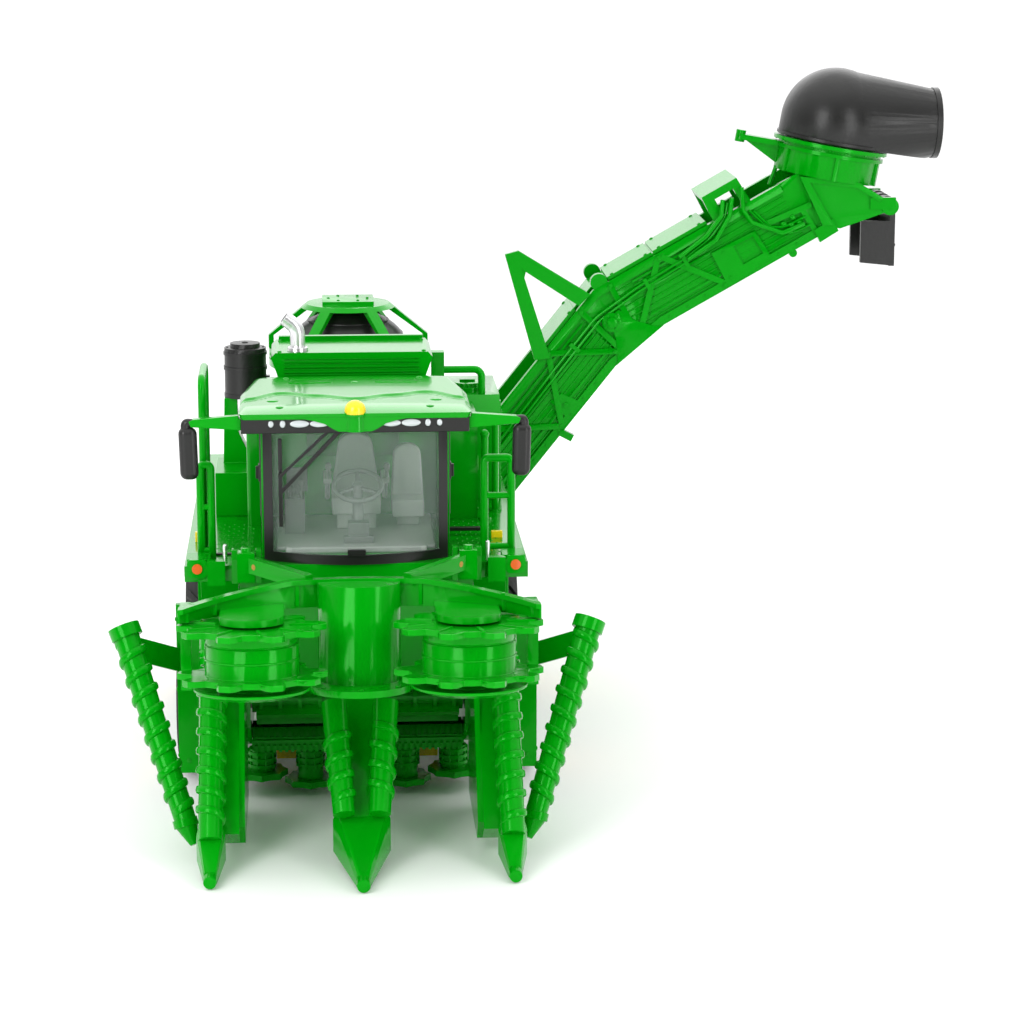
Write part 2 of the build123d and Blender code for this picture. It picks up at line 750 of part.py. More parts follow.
# Primary extractor: a drum, a domed cage of bars and the black hood inside it
stack = upright(extractor_radius, 0, extractor_y, deck_top, extractor_flange_z)
stack += upright(extractor_flange_radius, 0, extractor_y, extractor_flange_z - 1.5, extractor_flange_z)
stack += upright(extractor_radius + 0.5, 0, extractor_y, 59.5, 61.0)
nodes["extractor_housing"] = stack
cage_base = extractor_flange_z + hood_turn_gap
shoulder_z = cage_base + 4.6
crown_radius = 9.0
crown_z = extractor_top - 0.9
crown_flat = 5.5


def cage_section(inset, low):
    """The half section of the cage, drawn in by an inset."""
    return [
        (0, low),
        (extractor_flange_radius - inset, low),
        (extractor_flange_radius - inset, shoulder_z),
        (crown_radius - inset * 0.5, crown_z - inset),
        (0, crown_z - inset),
    ]


outer_cage = revolve(Plane.XZ * make_face(Polyline(*cage_section(0, cage_base), close=True)), axis=Axis.Z)
inner_cage = revolve(
    Plane.XZ * make_face(Polyline(*cage_section(cage_wall, cage_base - 1), close=True)), axis=Axis.Z
)
window = span_box((-20, 20), (-cage_bar_width / 2, cage_bar_width / 2), (0, extractor_top + 5))
bars = window
for bar_turn in range(1, cage_bars // 2):
    bars += Rot(0, 0, bar_turn * 360 / cage_bars) * window
open_zone = upright(extractor_flange_radius + 1, 0, 0, cage_base + 2.0, crown_z - 0.9)
open_zone -= upright(crown_flat + 0.6, 0, 0, cage_base, extractor_top)
cage = (outer_cage - inner_cage) - (open_zone - bars)
cage += span_box((-crown_flat, crown_flat), (-crown_flat, crown_flat), (crown_z - cage_wall, extractor_top))
nodes["extractor_cage"] = Pos(0, extractor_y, 0) * cage
dome_height = crown_z - cage_wall - 2.3 - cage_base
dome_radius = (13.8**2 + dome_height**2) / (2 * dome_height)
dome = Pos(0, 0, cage_base + dome_height - dome_radius) * Sphere(dome_radius)
dome &= upright(13.8, 0, 0, cage_base, extractor_top)
dome += upright(2.5, 0, 0, cage_base + dome_height - 1, crown_z - cage_wall)
dome += upright(extractor_flange_radius - cage_wall - 0.1, 0, 0, cage_base, cage_base + 0.6)
nodes["extractor_dome"] = Pos(0, extractor_y, 0) * dome

# Elevator turntable
head_half = boom_width / 2 - boom_wall - 0.8
hub = upright(6.0, 0, slew_y, hub_low, hub_high)
head_range = (slew_y - head_half, slew_y + head_half)
hub += span_box((0, lift_reach), head_range, (lift_height - 5, lift_height + 5))
hub += rod((lift_reach, head_range[0], lift_height), (lift_reach, head_range[1], lift_height), 5.0)
hub += rod((lift_reach, near, lift_height), (lift_reach, far, lift_height), lift_stud_radius)
spigot_reach = slew_gap + slew_bracket_thickness
hub += upright(spigot_radius, 0, slew_y, hub_low - spigot_reach, hub_high + spigot_reach)
nodes["turntable"] = hub

# Elevator boom profile in (x, z), from the lift pivot
lower_dir = Vector(math.cos(math.radians(lower_angle)), math.sin(math.radians(lower_angle)))
upper_dir = Vector(math.cos(math.radians(upper_angle)), math.sin(math.radians(upper_angle)))
lower_up = Vector(-lower_dir.Y, lower_dir.X)
upper_up = Vector(-upper_dir.Y, upper_dir.X)
pivot = Vector(lift_reach, lift_height)
half_depth = boom_depth / 2
knee_shift = half_depth * math.tan(math.radians(lower_angle - upper_angle) / 2)
knee = pivot + lower_dir * lower_length
boom_end = knee + upper_dir * upper_length


def lower_point(run, rise):
    """A place on the lower boom by its run from the pivot and its rise, as (x, z)."""
    spot = pivot + lower_dir * run + lower_up * rise
    return (spot.X, spot.Y)


def upper_point(run, rise):
    """A place on the upper boom by its run from the knee and its rise, as (x, z)."""
    spot = knee + upper_dir * run + upper_up * rise
    return (spot.X, spot.Y)


def end_point(ahead, above):
    """A place by its distance ahead of and above the boom's end, as (x, z)."""
    return (boom_end.X + ahead, boom_end.Y + above)


def knee_strip(low_start, high_end, rise_low, rise_high):
    """A strip of the profile that follows the knee between two rises."""
    low_run = knee_shift + knee_chamfer
    bend_low = low_run if rise_low < 0 else -knee_shift
    bend_high = low_run if rise_high < 0 else -knee_shift
    return [
        lower_point(low_start, rise_low),
        lower_point(lower_length - bend_low, rise_low),
        upper_point(bend_low, rise_low),
        upper_point(high_end, rise_low),
        upper_point(high_end, rise_high),
        upper_point(bend_high, rise_high),
        lower_point(lower_length - bend_high, rise_high),
        lower_point(low_start, rise_high),
    ]


low_run = knee_shift + knee_chamfer
side_points = [
    lower_point(0, -half_depth),
    lower_point(lower_length - low_run, -half_depth),
    upper_point(low_run, -half_depth),
    upper_point(upper_length, -half_depth),
    upper_point(upper_length, half_depth),
    lower_point(lower_length + knee_shift, half_depth),
    lower_point(0, half_depth),
]
cheek = front_plate(side_points, near, near + boom_wall)
cheek += rod((lift_reach, near, lift_height), (lift_reach, near + boom_wall, lift_height), half_depth)
flange = front_plate(
    knee_strip(9, upper_length, -half_depth, -half_depth + flange_width), near - flange_proud, near
)
chord_rise = half_depth - flange_width
chord_shift = knee_shift * chord_rise / half_depth
top_chord = [
    lower_point(9, chord_rise),
    lower_point(lower_length + chord_shift, chord_rise),
    upper_point(upper_length - 6, chord_rise),
    upper_point(upper_length - 6, half_depth),
    lower_point(lower_length + knee_shift, half_depth),
    lower_point(9, half_depth),
]
flange += front_plate(top_chord, near - flange_proud, near)
cheek += flange
lower_ribs = (-3.8, 1.1, 2.2, 3.3, 4.4)
for rise in lower_ribs:
    strip = bar_outline(lower_point(10, rise), lower_point(lower_length - 6, rise), rib_width)
    cheek += front_plate(strip, near - rib_proud, near)
for rise in (-3.9, 1.6, 2.6, 3.6, 4.6):
    strip = bar_outline(upper_point(7, rise), upper_point(24.9, rise), rib_width)
    cheek += front_plate(strip, near - rib_proud, near)
rail_low = -half_depth + flange_width / 2
rail_high = half_depth - flange_width / 2
# columns: whether the end lies on the upper boom, run, rise, for both ends of a truss brace
brace_table = [
    (False, 22.5, rail_low, False, 33.2, rail_high),
    (False, 33.2, rail_high, False, 43.9, rail_low),
    (False, 43.9, rail_low, False, 54.8, rail_high),
    (False, 54.8, rail_high, False, 64.8, rail_low + 0.6),
    (False, 66.5, rail_high, False, 65.5, rail_low + 1.5),
    (True, 2.4, rail_high, True, 2.4, rail_low + 1.0),
    (True, 3.9, rail_low + 1.0, True, 14.4, rail_high),
    (True, 15.2, rail_high, True, 25.0, rail_low),
]
for start_upper, start_run, start_rise, end_upper, end_run, end_rise in brace_table:
    start = upper_point(start_run, start_rise) if start_upper else lower_point(start_run, start_rise)
    end = upper_point(end_run, end_rise) if end_upper else lower_point(end_run, end_rise)
    cheek += front_plate(bar_outline(start, end, brace_width), near - brace_proud, near)
knuckle_plate = [
    lower_point(63.0, -half_depth + 0.4),
    lower_point(lower_length - low_run, -half_depth),
    upper_point(low_run, -half_depth),
    upper_point(7.0, -half_depth + 0.4),
    upper_point(3.6, -3.4),
    upper_point(1.4, 0.8),
    lower_point(69.2, 0.8),
    lower_point(66.6, -3.4),
]
knuckle_face = near - brace_proud - 0.15
cheek += front_plate(knuckle_plate, knuckle_face, near)
boss_x, boss_z = lower_point(lower_length - 1.5, -0.3)
cheek += rod((boss_x, knuckle_face - 0.7, boss_z), (boss_x, near, boss_z), 2.1)
cheek += rod((boss_x, knuckle_face - 1.4, boss_z), (boss_x, near, boss_z), 1.1)
lug_x, lug_z = upper_point(0.6, half_depth + 0.9)
cheek += rod((lug_x, near - 0.6, lug_z), (lug_x, near + boom_wall, lug_z), 1.9)
foot_plate = [lower_point(46.0, rail_low), lower_point(50.8, rail_low), lower_point(49.6, -1.6),
              lower_point(46.6, -0.8)]
cheek += front_plate(foot_plate, near - flange_proud, near)
peg = bar_outline(lower_point(42.6, -half_depth + 0.6), lower_point(43.2, -half_depth - 2.6), 1.6)
cheek += front_plate(peg, near - brace_proud, near + boom_wall)
panel = [upper_point(25.2, 1.4), upper_point(36.0, 1.0), upper_point(36.4, -half_depth + 1),
         upper_point(25.0, -half_depth + 0.2)]
recess = [upper_point(30.2, 0.3), upper_point(35.0, 0.1), upper_point(35.2, -4.3), upper_point(30.2, -4.3)]
cheek += front_plate(panel, near - brace_proud, near) - front_plate(recess, near - 2, near - 0.2)
rail_bar = bar_outline(upper_point(37.4, 1.2), upper_point(49.6, -0.2), 1.3)
cheek += front_plate(rail_bar, near - brace_proud, near)
stop_bar = bar_outline(upper_point(47.3, -0.4), upper_point(47.6, -6.2), 1.2)
cheek += front_plate(stop_bar, near - brace_proud, near)
pad = [upper_point(47.4, -5.4), upper_point(52.2, -5.2), upper_point(52.0, -8.2), upper_point(47.2, -8.4)]
cheek += front_plate(pad, near - brace_proud - 0.6, near)
foot_x, foot_z = upper_point(41.0, -half_depth - 0.5)
cheek += rod((foot_x, near - 0.2, foot_z), (foot_x, near + boom_wall, foot_z), 0.9)
saddle = [upper_point(29.0, half_depth - 1), upper_point(29.2, 13.2), upper_point(38.0, 13.2),
          upper_point(38.4, half_depth - 1)]
saddle_hole = [upper_point(31.6, 6.2), upper_point(31.6, 11.4), upper_point(36.2, 11.4), upper_point(36.4, 6.2)]
cheek += front_plate(saddle, near - 0.5, near + boom_wall) - front_plate(saddle_hole, near - 1, near + 2)
end_outline = [end_point(-4.34, 5.14), end_point(8.76, 3.64), end_point(14.36, 0.24),
               end_point(flap_ahead, -flap_below - 1.0), end_point(4.86, -6.46), end_point(0.86, -5.66)]
end_rim = [end_point(-4.34, 5.14), end_point(8.76, 3.64), end_point(14.36, 0.24), end_point(13.4, -0.6),
           end_point(8.3, 2.5), end_point(-2.2, 3.8), end_point(3.4, -5.6), end_point(0.86, -5.66)]
flap_x, flap_z = end_point(flap_ahead, -flap_below)
flap_boss = 1.9
flap_pin = 0.9
cheek += front_plate(end_outline, near - 1, near) + front_plate(end_rim, near - 1.7, near - 1)
cheek += rod((flap_x, near - 1.4, flap_z), (flap_x, near + boom_wall, flap_z), flap_boss)
cheek += span_box((flap_x - 4.5, flap_x + 1.2), (near - 1.5, near), (flap_z - 0.6, flap_z + 2.0))
cheek += rod((flap_x, near + boom_wall, flap_z), (flap_x, near + boom_wall + 2, flap_z), flap_pin)
trough = both_cheeks(cheek)
floor_strip = knee_strip(9, upper_length, -half_depth, -half_depth + 1)
trough += front_plate(floor_strip, near + boom_wall, far - boom_wall)
saddle_top = bar_outline(upper_point(29.2, 12.6), upper_point(38.0, 12.6), 1.2)
trough += front_plate(saddle_top, near + boom_wall, far - boom_wall)
stud_hole = lift_stud_radius + axle_gap
trough -= rod((lift_reach, near - 2, lift_height), (lift_reach, far + 2, lift_height), stud_hole)

# Secondary extractor ring with its flanges and the bracket on its right
ring_x, ring_z = end_point(ring_ahead, ring_above)
ring_place = Pos(ring_x, slew_y, ring_z) * Rot(0, ring_tilt, 0)
ring_inner = Circle(ring_radius - ring_wall)
ring = Pos(0, 0, -ring_height / 2) * extrude(Circle(ring_radius) - ring_inner, amount=ring_height)
for flange_z, reach in ((ring_height / 2 - 0.8, 1.2), (ring_height / 2 - 2.4, 0.6)):
    ring += Pos(0, 0, flange_z) * extrude(Circle(ring_radius + reach) - ring_inner, amount=0.8)
for rib_turn in range(6):
    rib = span_box((ring_radius - 0.3, ring_radius + 0.5), (-0.4, 0.4), (-ring_height / 2, ring_height / 2 - 2.0))
    ring += Rot(0, 0, 60 * rib_turn + 30) * rib
lever = span_box((-20.6, -ring_radius + 0.4), (-2.2, 2.2), (1.2, 2.4))
lever += upright(1.1, -20.2, 0, 0.6, 3.2)
lever += front_plate([(-19.4, 1.4), (-ring_radius + 0.4, 1.4), (-ring_radius + 0.4, -2.8)], -0.6, 0.6)
ring += lever
nodes["secondary_ring"] = (ring_place * ring) - trough
nodes["boom"] = trough

# Elevator cover in three panels along the top
cover_gap = 0.4
cover_thick = 0.9
# columns: whether on the upper boom, start run, end run
cover_table = [(False, 54.0, 66.0), (True, 2.6, 13.8), (True, 14.2, 27.6)]
cover = None
for on_upper, start_run, end_run in cover_table:
    spot = upper_point if on_upper else lower_point
    outline = [spot(start_run, half_depth), spot(end_run, half_depth), spot(end_run, half_depth + cover_thick),
               spot(start_run, half_depth + cover_thick)]
    panel = front_plate(outline, near + 0.3, far - 0.3)
    cover = panel if cover is None else cover + panel
joint_outline = [
    lower_point(66.0, half_depth), lower_point(66.0, half_depth + 0.5),
    lower_point(lower_length + knee_shift, half_depth + 0.5), upper_point(2.6, half_depth + 0.5),
    upper_point(2.6, half_depth), lower_point(lower_length + knee_shift, half_depth),
]
cover += front_plate(joint_outline, near + 2.4, far - 2.4)
seam = [upper_point(13.8, half_depth), upper_point(14.2, half_depth), upper_point(14.2, half_depth + 0.5),
        upper_point(13.8, half_depth + 0.5)]
cover += front_plate(seam, near + 0.3, far - 0.3)
nodes["boom_cover"] = cover

# Elevator conveyor: slats on two chains along the trough's floor
chain_low = -half_depth + 1
chain_high = chain_low + 0.7
slat_inset = boom_wall + 0.3
conveyor = None
for chain_y in (near + slat_inset, far - slat_inset - 1.2):
    chain = front_plate(knee_strip(11, upper_length - 1, chain_low, chain_high), chain_y, chain_y + 1.2)
    conveyor = chain if conveyor is None else conveyor + chain
for spot, first_run, last_run in ((lower_point, 13.0, lower_length - 15), (upper_point, 12.0, upper_length - 2)):
    count = int((last_run - first_run) // slat_pitch) + 1
    for slat in range(count):
        run = first_run + slat * slat_pitch
        outline = bar_outline(spot(run, chain_low), spot(run, chain_low + slat_height), 0.7)
        conveyor += front_plate(outline, near + slat_inset, far - slat_inset)
nodes["conveyor"] = conveyor

# Piping moulded along the near cheek, from the saddle down into the ribs
pipe_y = near - 1.6
# columns: (run, rise) corners on the upper boom
pipe_table = [
    [(33.0, 10.6), (31.0, 7.6), (26.0, 5.4), (18.6, 4.3)],
    [(35.0, 10.0), (32.6, 6.8), (27.4, 3.6), (20.0, 2.9)],
    [(37.9, 11.0), (35.8, 6.4), (36.2, 3.0), (41.0, -2.4), (46.2, -3.0)],
]
piping = None
for corners in pipe_table:
    route = [(upper_point(*corner)[0], pipe_y, upper_point(*corner)[1]) for corner in corners]
    line = pipe(route, 0.5, 1.2)
    piping = line if piping is None else piping + line
nodes["boom_piping"] = piping - trough

# Elevator support frame on the near cheek
strut_outline = [(34.5, 92.7), (37.5, 93.5), (53.4, 83.7), (50.8, 81.2), (38.2, 89.4), (44.5, 69.7), (41, 69.2)]
strut_web = [(36.4, 90.8), (39.6, 90.6), (38.6, 86.6), (37.4, 86.6)]
strut_near = near - flange_proud - 1.2
strut = front_plate(strut_outline, strut_near, near - flange_proud)
strut += front_plate(strut_web, strut_near + 0.3, near - flange_proud - 0.3)
nodes["boom_struts"] = strut - trough

# Secondary hood: a round elbow that opens to one side
hood_base = ring_height / 2 + hood_turn_gap
dome_z = 8.3
bowl = 12.0
hood_wall = 1.2
mouth = (22.5, 12.0)
spout_plane, spout_length = line_plane((0, 0, dome_z), (mouth[0], 0, mouth[1]))
outer = Pos(0, 0, dome_z) * Sphere(bowl)
outer += spout_plane * Pos(0, 0, spout_length / 2) * Cone(bowl, spout_mouth_radius, spout_length)
outer += spout_plane * Pos(0, 0, spout_length - 0.6) * Cylinder(spout_mouth_radius + spout_lip, 1.2)
outer += Pos(0, 0, hood_base) * extrude(Circle(bowl), amount=dome_z - hood_base)
outer &= Pos(0, 0, hood_base) * extrude(Rectangle(80, 80), amount=60)
inner_bowl = bowl - hood_wall
inner = Pos(0, 0, dome_z) * Sphere(inner_bowl)
inner += spout_plane * Pos(0, 0, (spout_length + 1) / 2) * Cone(
    inner_bowl, spout_mouth_radius - hood_wall, spout_length + 1
)
inner += Pos(0, 0, -1) * extrude(Circle(inner_bowl), amount=dome_z + 1)
inner &= Pos(0, 0, hood_base + hood_wall) * extrude(Rectangle(80, 80), amount=60)
nodes["secondary_hood"] = ring_place * (outer - inner)

# Hinged flap under the boom's end: a back plate with two side wings
flap_side = boom_wall + 0.2
flap_low = flap_z - 13.5
flap = rod((flap_x, near + flap_side, flap_z), (flap_x, far - flap_side, flap_z), 1.7)
flap += span_box((flap_x + 0.5, flap_x + 1.7), (near + flap_side, far - flap_side), (flap_low, flap_z))
wing = front_plate(
    [(flap_x - 5.9, flap_low + 0.8), (flap_x + 1.7, flap_low), (flap_x + 1.7, flap_z - 3.5),
     (flap_x - 5.9, flap_z - 3.5)],
    near + flap_side,
    near + flap_side + 1.2,
)
flap += both_cheeks(wing)
pin_hole = rod((flap_x, near - 1, flap_z), (flap_x, near + boom_wall + 2.1, flap_z), flap_pin + axle_gap)
nodes["bin_flap"] = flap - both_cheeks(pin_hole)

# Topper frame: an arched band, a rounded centre column, end plates and drum pins
topper_place = Pos(0, topper_y, topper_z) * Rot(-topper_tilt, 0, 0)
column_low = -8.0
band_height = band_high - band_low
band_place = Pos(0, band_back - band_radius)
band_ring = Circle(band_radius) - Circle(band_radius - band_wall)
rim_ring = Circle(band_radius + 0.5) - Circle(band_radius - band_wall - 0.5)
slope = [(topper_half_width, band_height - band_drop), (band_level, band_height)]
slope += [(-x, z) for x, z in reversed(slope)]
band_zone = front_plate(slope + [(-topper_half_width, 0), (topper_half_width, 0)], 0, 30)
rim_zone = front_plate(slope + [(x, z - band_rim) for x, z in reversed(slope)], 0, 30)
band = (extrude(band_place * band_ring, amount=band_height) & band_zone)
band += extrude(band_place * rim_ring, amount=band_height) & rim_zone
topper = Pos(0, 0, band_low) * band
column_face = make_face(
    ThreePointArc((-7.4, 14.5), (0, 7.9), (7.4, 14.5))
    + Line((7.4, 14.5), (7.4, band_back - 1))
    + Line((7.4, band_back - 1), (-7.4, band_back - 1))
    + Line((-7.4, band_back - 1), (-7.4, 14.5))
)
topper += Pos(0, 0, column_low) * extrude(column_face, amount=band_high - column_low - 0.4)
foot_z = column_low - 1.0
plate_high = band_high - band_drop - 0.4
topper += Pos(0, 11.5, foot_z) * extrude(Circle(9.2), amount=1.2)
for side in (1, -1):
    plate_x = side * (topper_half_width - 0.9)
    drum_x = side * topper_x
    edge = (plate_x - 0.9, plate_x + 0.9)
    topper += span_box(edge, (7.8, 11.5), (column_low, plate_high))
    topper += span_box(edge, (1.4, 8), (band_low, plate_high))
    topper += span_box((drum_x - 5.6, drum_x + 5.6), (0, 15), (band_low, band_low + 1.2))
    topper += Pos(drum_x, 0, band_low) * extrude(Circle(5.6), amount=1.2)
    topper += Pos(drum_x, 0, column_low) * extrude(Circle(drum_pin_radius), amount=14)
nodes["topper_frame"] = topper_place * topper

# Topper drums: a grooved drum between two toothed discs, over a dished plate
half_drum = drum_height / 2
dish_top = -half_drum - 0.8 - dish_drop
half_tooth = 360 / star_teeth / 2
# columns: angle from the tooth's centre as a share of half a tooth, radius
tooth_table = [(-0.62, star_root), (-0.42, star_radius - 0.8), (-0.22, star_radius), (0.22, star_radius),
               (0.42, star_radius - 0.8), (0.62, star_root)]
star_points = []
for tooth in range(star_teeth):
    for share, reach in tooth_table:
        angle = math.radians((2 * tooth + share) * half_tooth)
        star_points.append((reach * math.sin(angle), reach * math.cos(angle)))
star = make_face(Polyline(*star_points, close=True))
drum_outline = [
    (drum_pin_radius + axle_gap, dish_top - 1.4),
    (dish_radius - 2.5, dish_top - 1.4),
    (dish_radius, dish_top - 0.5),
    (dish_radius, dish_top),
    (dish_radius - 2.5, dish_top - 0.4),
    (drum_radius - 2.5, dish_top - 0.2),
    (drum_radius - 1.5, -half_drum - 0.5),
    (drum_radius, -half_drum),
    (drum_radius, 1.6),
    (drum_radius - 0.35, 1.8),
    (drum_radius, 2.0),
    (drum_radius, half_drum),
    (drum_pin_radius + axle_gap, half_drum),
]
turned = revolve(Plane.XZ * make_face(Polyline(*drum_outline, close=True)), axis=Axis.Z)
bore = Pos(0, 0, -20) * extrude(Circle(drum_pin_radius + axle_gap), amount=40)
for star_z in (-half_drum - star_thickness / 2, half_drum - star_thickness / 2):
    turned += Pos(0, 0, star_z) * extrude(star, amount=star_thickness) - bore
for side_name, side in (("left", 1), ("right", -1)):
    nodes[f"{side_name}_topper_drum"] = topper_place * Pos(side * topper_x, 0, 0) * turned

# Topper arms: a block on the pivot pin and a flat bar towards the band
block_range = (arm_pivot_x - arm_half_width, arm_pivot_x + arm_half_width)
lug = rod((block_range[0], arm_pivot_y, arm_pivot_z), (block_range[1], arm_pivot_y, arm_pivot_z), 1.5)
lug += span_box(block_range, (arm_pivot_y - 5.0, arm_pivot_y), (arm_pivot_z - 1.5, arm_pivot_z + 1.5))
lug += span_box(
    block_range, (arm_pivot_y - 6.6, arm_pivot_y - 2.6), (arm_pivot_z - 3.2, arm_pivot_z + 2.2)
)
lug += upright(0.9, arm_pivot_x, arm_pivot_y - 4.6, arm_pivot_z + 2.2, arm_pivot_z + 2.9)
lug -= rod(
    (arm_pivot_x - 3, arm_pivot_y, arm_pivot_z),
    (arm_pivot_x + 3, arm_pivot_y, arm_pivot_z),
    arm_pin_radius + axle_gap,
)
arm_start = (arm_pivot_x, arm_pivot_y - 4.6, arm_pivot_z)
arm_bar = Plane(origin=arm_start, x_dir=(0, 0, 1), z_dir=(-13, -15.5, -0.6)) * extrude(
    Rectangle(2.8, 1.8), amount=18
)
nodes["topper_arms"] = both_sides((lug + arm_bar) - nodes["topper_frame"])


def scroll(start, end, shaft, flight, slant):
    """A tapered shaft with slanted flights from start to end.

    shaft and flight give the radius at both ends. A positive slant drops the
    flights on the machine's left side.
    """
    along = (Vector(*end) - Vector(*start)).normalized()
    length = (Vector(*end) - Vector(*start)).length
    across = Vector(1, 0, 0) - along * along.X
    plane = Plane(origin=start, x_dir=across, z_dir=along)
    body = Pos(0, 0, length / 2) * Cone(shaft[0], shaft[1], length)
    turns = int((length - 3 * flight_thickness) // flight_pitch)
    for turn in range(turns):
        at = flight_pitch * (turn + 1)
        reach = flight[0] + (flight[1] - flight[0]) * at / length
        ring = Pos(0, 0, -flight_thickness / 2) * Cone(reach, reach - 0.25, flight_thickness)
        body += Pos(0, 0, at) * Rot(0, slant, 0) * ring
    return plane * body


def nose(x, tip, half_back, half_front, back_y, low_z, high_z):
    """A bevelled wedge from its tip near the floor back to the scroll's foot."""
    bevel = 0.85
    back = [(-half_back, low_z), (half_back, low_z), (half_back, high_z - 1.4), (half_back * bevel, high_z),
            (-half_back * bevel, high_z), (-half_back, high_z - 1.4)]
    front = [(-half_front, 0.4), (half_front, 0.4), (half_front, 1.8), (half_front * bevel, 2.6),
             (-half_front * bevel, 2.6), (-half_front, 1.8)]
    faces = []
    for y, outline in ((back_y, back), (tip, front)):
        points = [(x + point_x, z) for point_x, z in outline]
        faces.append(Plane.XZ.offset(-y) * make_face(Polyline(*points, close=True)))
    wedge = loft(faces, ruled=True)
    return wedge + rod((x, tip + 0.5, 1.5), (x, tip - 2.4, 1.4), half_front)


# Row dividers: noses, scrolls and the panel between the centre pair
nose_y = tip_y + 2.4
centre_nose = nose(0, nose_y, 5.2, 1.2, -61, 2.4, centre_nose_top)
centre_wall = side_plate([(-61, centre_nose_top), (-61, 2.4), (-34, 4), (frame_front, keel), (frame_front, 36), (-42, 34)],
                         -1.2, 1.2)
panel_face = Plane(origin=(0, -62.2, centre_nose_top - 0.6), x_dir=(1, 0, 0), z_dir=(0, 0.6, 0.8))
centre_panel = panel_face * extrude(Pos(0, 0.6) * Rectangle(7.6, 1.2), amount=26)
nodes["centre_divider"] = centre_nose + centre_wall + centre_panel
side_nose = nose(divider_x, nose_y + side_tip_setback, 2.6, 1.15, side_nose_back, 2.4, side_nose_top)
web = side_plate([(guard_front, 3), (-57, 3), (-62.5, 6.5), (-47, 27), (-43.5, 35.5), (guard_front, 36)],
                 frame_half_width, divider_x)
spine = side_plate([(side_nose_back - 1, 3), (-57, 3), (-57, 11), (-62, 7.6), (side_nose_back - 1, 7)],
                   divider_x - 1.5, divider_x + 1.5)
left_body = side_nose + web + spine + guard
nodes["left_divider"] = left_body
nodes["right_divider"] = mirrored(left_body)
side_scroll = scroll((divider_x, -66.2, 6.6), (divider_x - 0.4, -43, 37.6), (2.2, 2.5), (2.7, 3.0), -flight_slant)
nodes["left_inner_scroll"] = side_scroll - left_body
nodes["right_inner_scroll"] = mirrored(side_scroll - left_body)
pair = scroll((3.2, -64.6, 10.4), (4.7, -51.9, 27.6), (2.0, 2.35), (2.4, 2.85), flight_slant)
nodes["centre_scrolls"] = both_sides(pair - nodes["centre_divider"])
outer_x = divider_x + 4.6
outer_top = Vector(outer_x + outer_lean, -42, 39.4)
outer_foot = (outer_x, -57, outer_foot_z)
outer_scroll = scroll(outer_foot, tuple(outer_top), (2.0, 2.4), (2.5, 2.95), flight_slant)
outer_scroll += rod(
    (outer_top.X - 0.6, outer_top.Y - 0.6, outer_top.Z - 1.4),
    (outer_top.X + 0.2, outer_top.Y + 0.2, outer_top.Z + 0.6),
    3.0,
)
foot_plane, foot_length = line_plane(outer_foot, (outer_x - 1.4, -58.6, outer_foot_z - 3.4))
outer_scroll += foot_plane * Pos(0, 0, foot_length / 2) * Cone(2.2, 0.7, foot_length)
outer_scroll += foot_plane * Pos(0, 0, -0.6) * Cylinder(2.3, 1.6)
bracket_start = (outer_top.X - 2.0, outer_top.Y - 1.0, outer_top.Z - 3.4)
bracket_end = Vector(guard_half_width - 1.0, guard_front + 0.5, 29.5)
bracket_way = bracket_end - Vector(*bracket_start)
bracket_plane = Plane(origin=bracket_start, x_dir=(0, 0, 1), z_dir=bracket_way)
bracket = bracket_plane * extrude(Rectangle(4.4, 1.2), amount=bracket_way.length)
nodes["left_outer_scroll"] = (outer_scroll + bracket) - guard
nodes["right_outer_scroll"] = mirrored((outer_scroll + bracket) - guard)

# Feed rollers and base cutters in the crop throats
roller_y = -20.0
roller_z = 20.0
roller_radius = 3.0
paddle_count = 6
cutter_y = -16.5
disc_radius = 5.0
disc_thickness = 1.2
cutter_body_radius = 2.5
cutter_box_low = 8.8
disc_half_spacing = 4.7
throat_rollers = {}
throat_cutters = {}
low_x = 1.2
high_x = inside
for side_name, side in (("left", 1), ("right", -1)):
    roller = rod((low_x + 0.2, roller_y, roller_z), (high_x - 0.2, roller_y, roller_z), roller_radius)
    for paddle in range(paddle_count):
        blade = span_box((low_x + 1, high_x - 1), (-0.5, 0.5), (roller_radius - 0.5, roller_radius + 2.4))
        roller += Pos(0, roller_y, roller_z) * Rot(360 / paddle_count * paddle, 0, 0) * blade
    throat_rollers[side_name] = roller if side == 1 else mirrored(roller)
    cutter = span_box((low_x + 0.1, high_x - 0.1), (cutter_y - 2.5, cutter_y + 2.5), (cutter_box_low, 13.5))
    for disc_x, disc_z in ((row_centre - disc_half_spacing, 1.6), (row_centre + disc_half_spacing, 3.2)):
        cutter += upright(cutter_body_radius, disc_x, cutter_y, disc_z + disc_thickness, cutter_box_low)
        for rib_z in (5.2, 6.5, 7.8):
            cutter += upright(cutter_body_radius + 0.35, disc_x, cutter_y, rib_z, rib_z + 0.6)
        cutter += Pos(disc_x, cutter_y, disc_z) * extrude(
            make_face(Polyline(*[
                ((disc_radius - 0.7 * (corner % 2)) * math.sin(math.radians(22.5 * corner)),
                 (disc_radius - 0.7 * (corner % 2)) * math.cos(math.radians(22.5 * corner)))
                for corner in range(16)
            ], close=True)),
            amount=disc_thickness,
        )
    throat_cutters[side_name] = cutter if side == 1 else mirrored(cutter)
nodes["feed_rollers"] = throat_rollers["left"] + throat_rollers["right"]
nodes["base_cutters"] = throat_cutters["left"] + throat_cutters["right"]
bar = span_box((low_x, inside), (-11, -9), (keel, keel + 2.5))
nodes["yellow_crossbar"] = both_sides(bar)

for name, shape in nodes.items():
    placed = Pos(-middle_x, -middle_y, 0) * shape
    export_step(placed, f"parts/{name}.step")
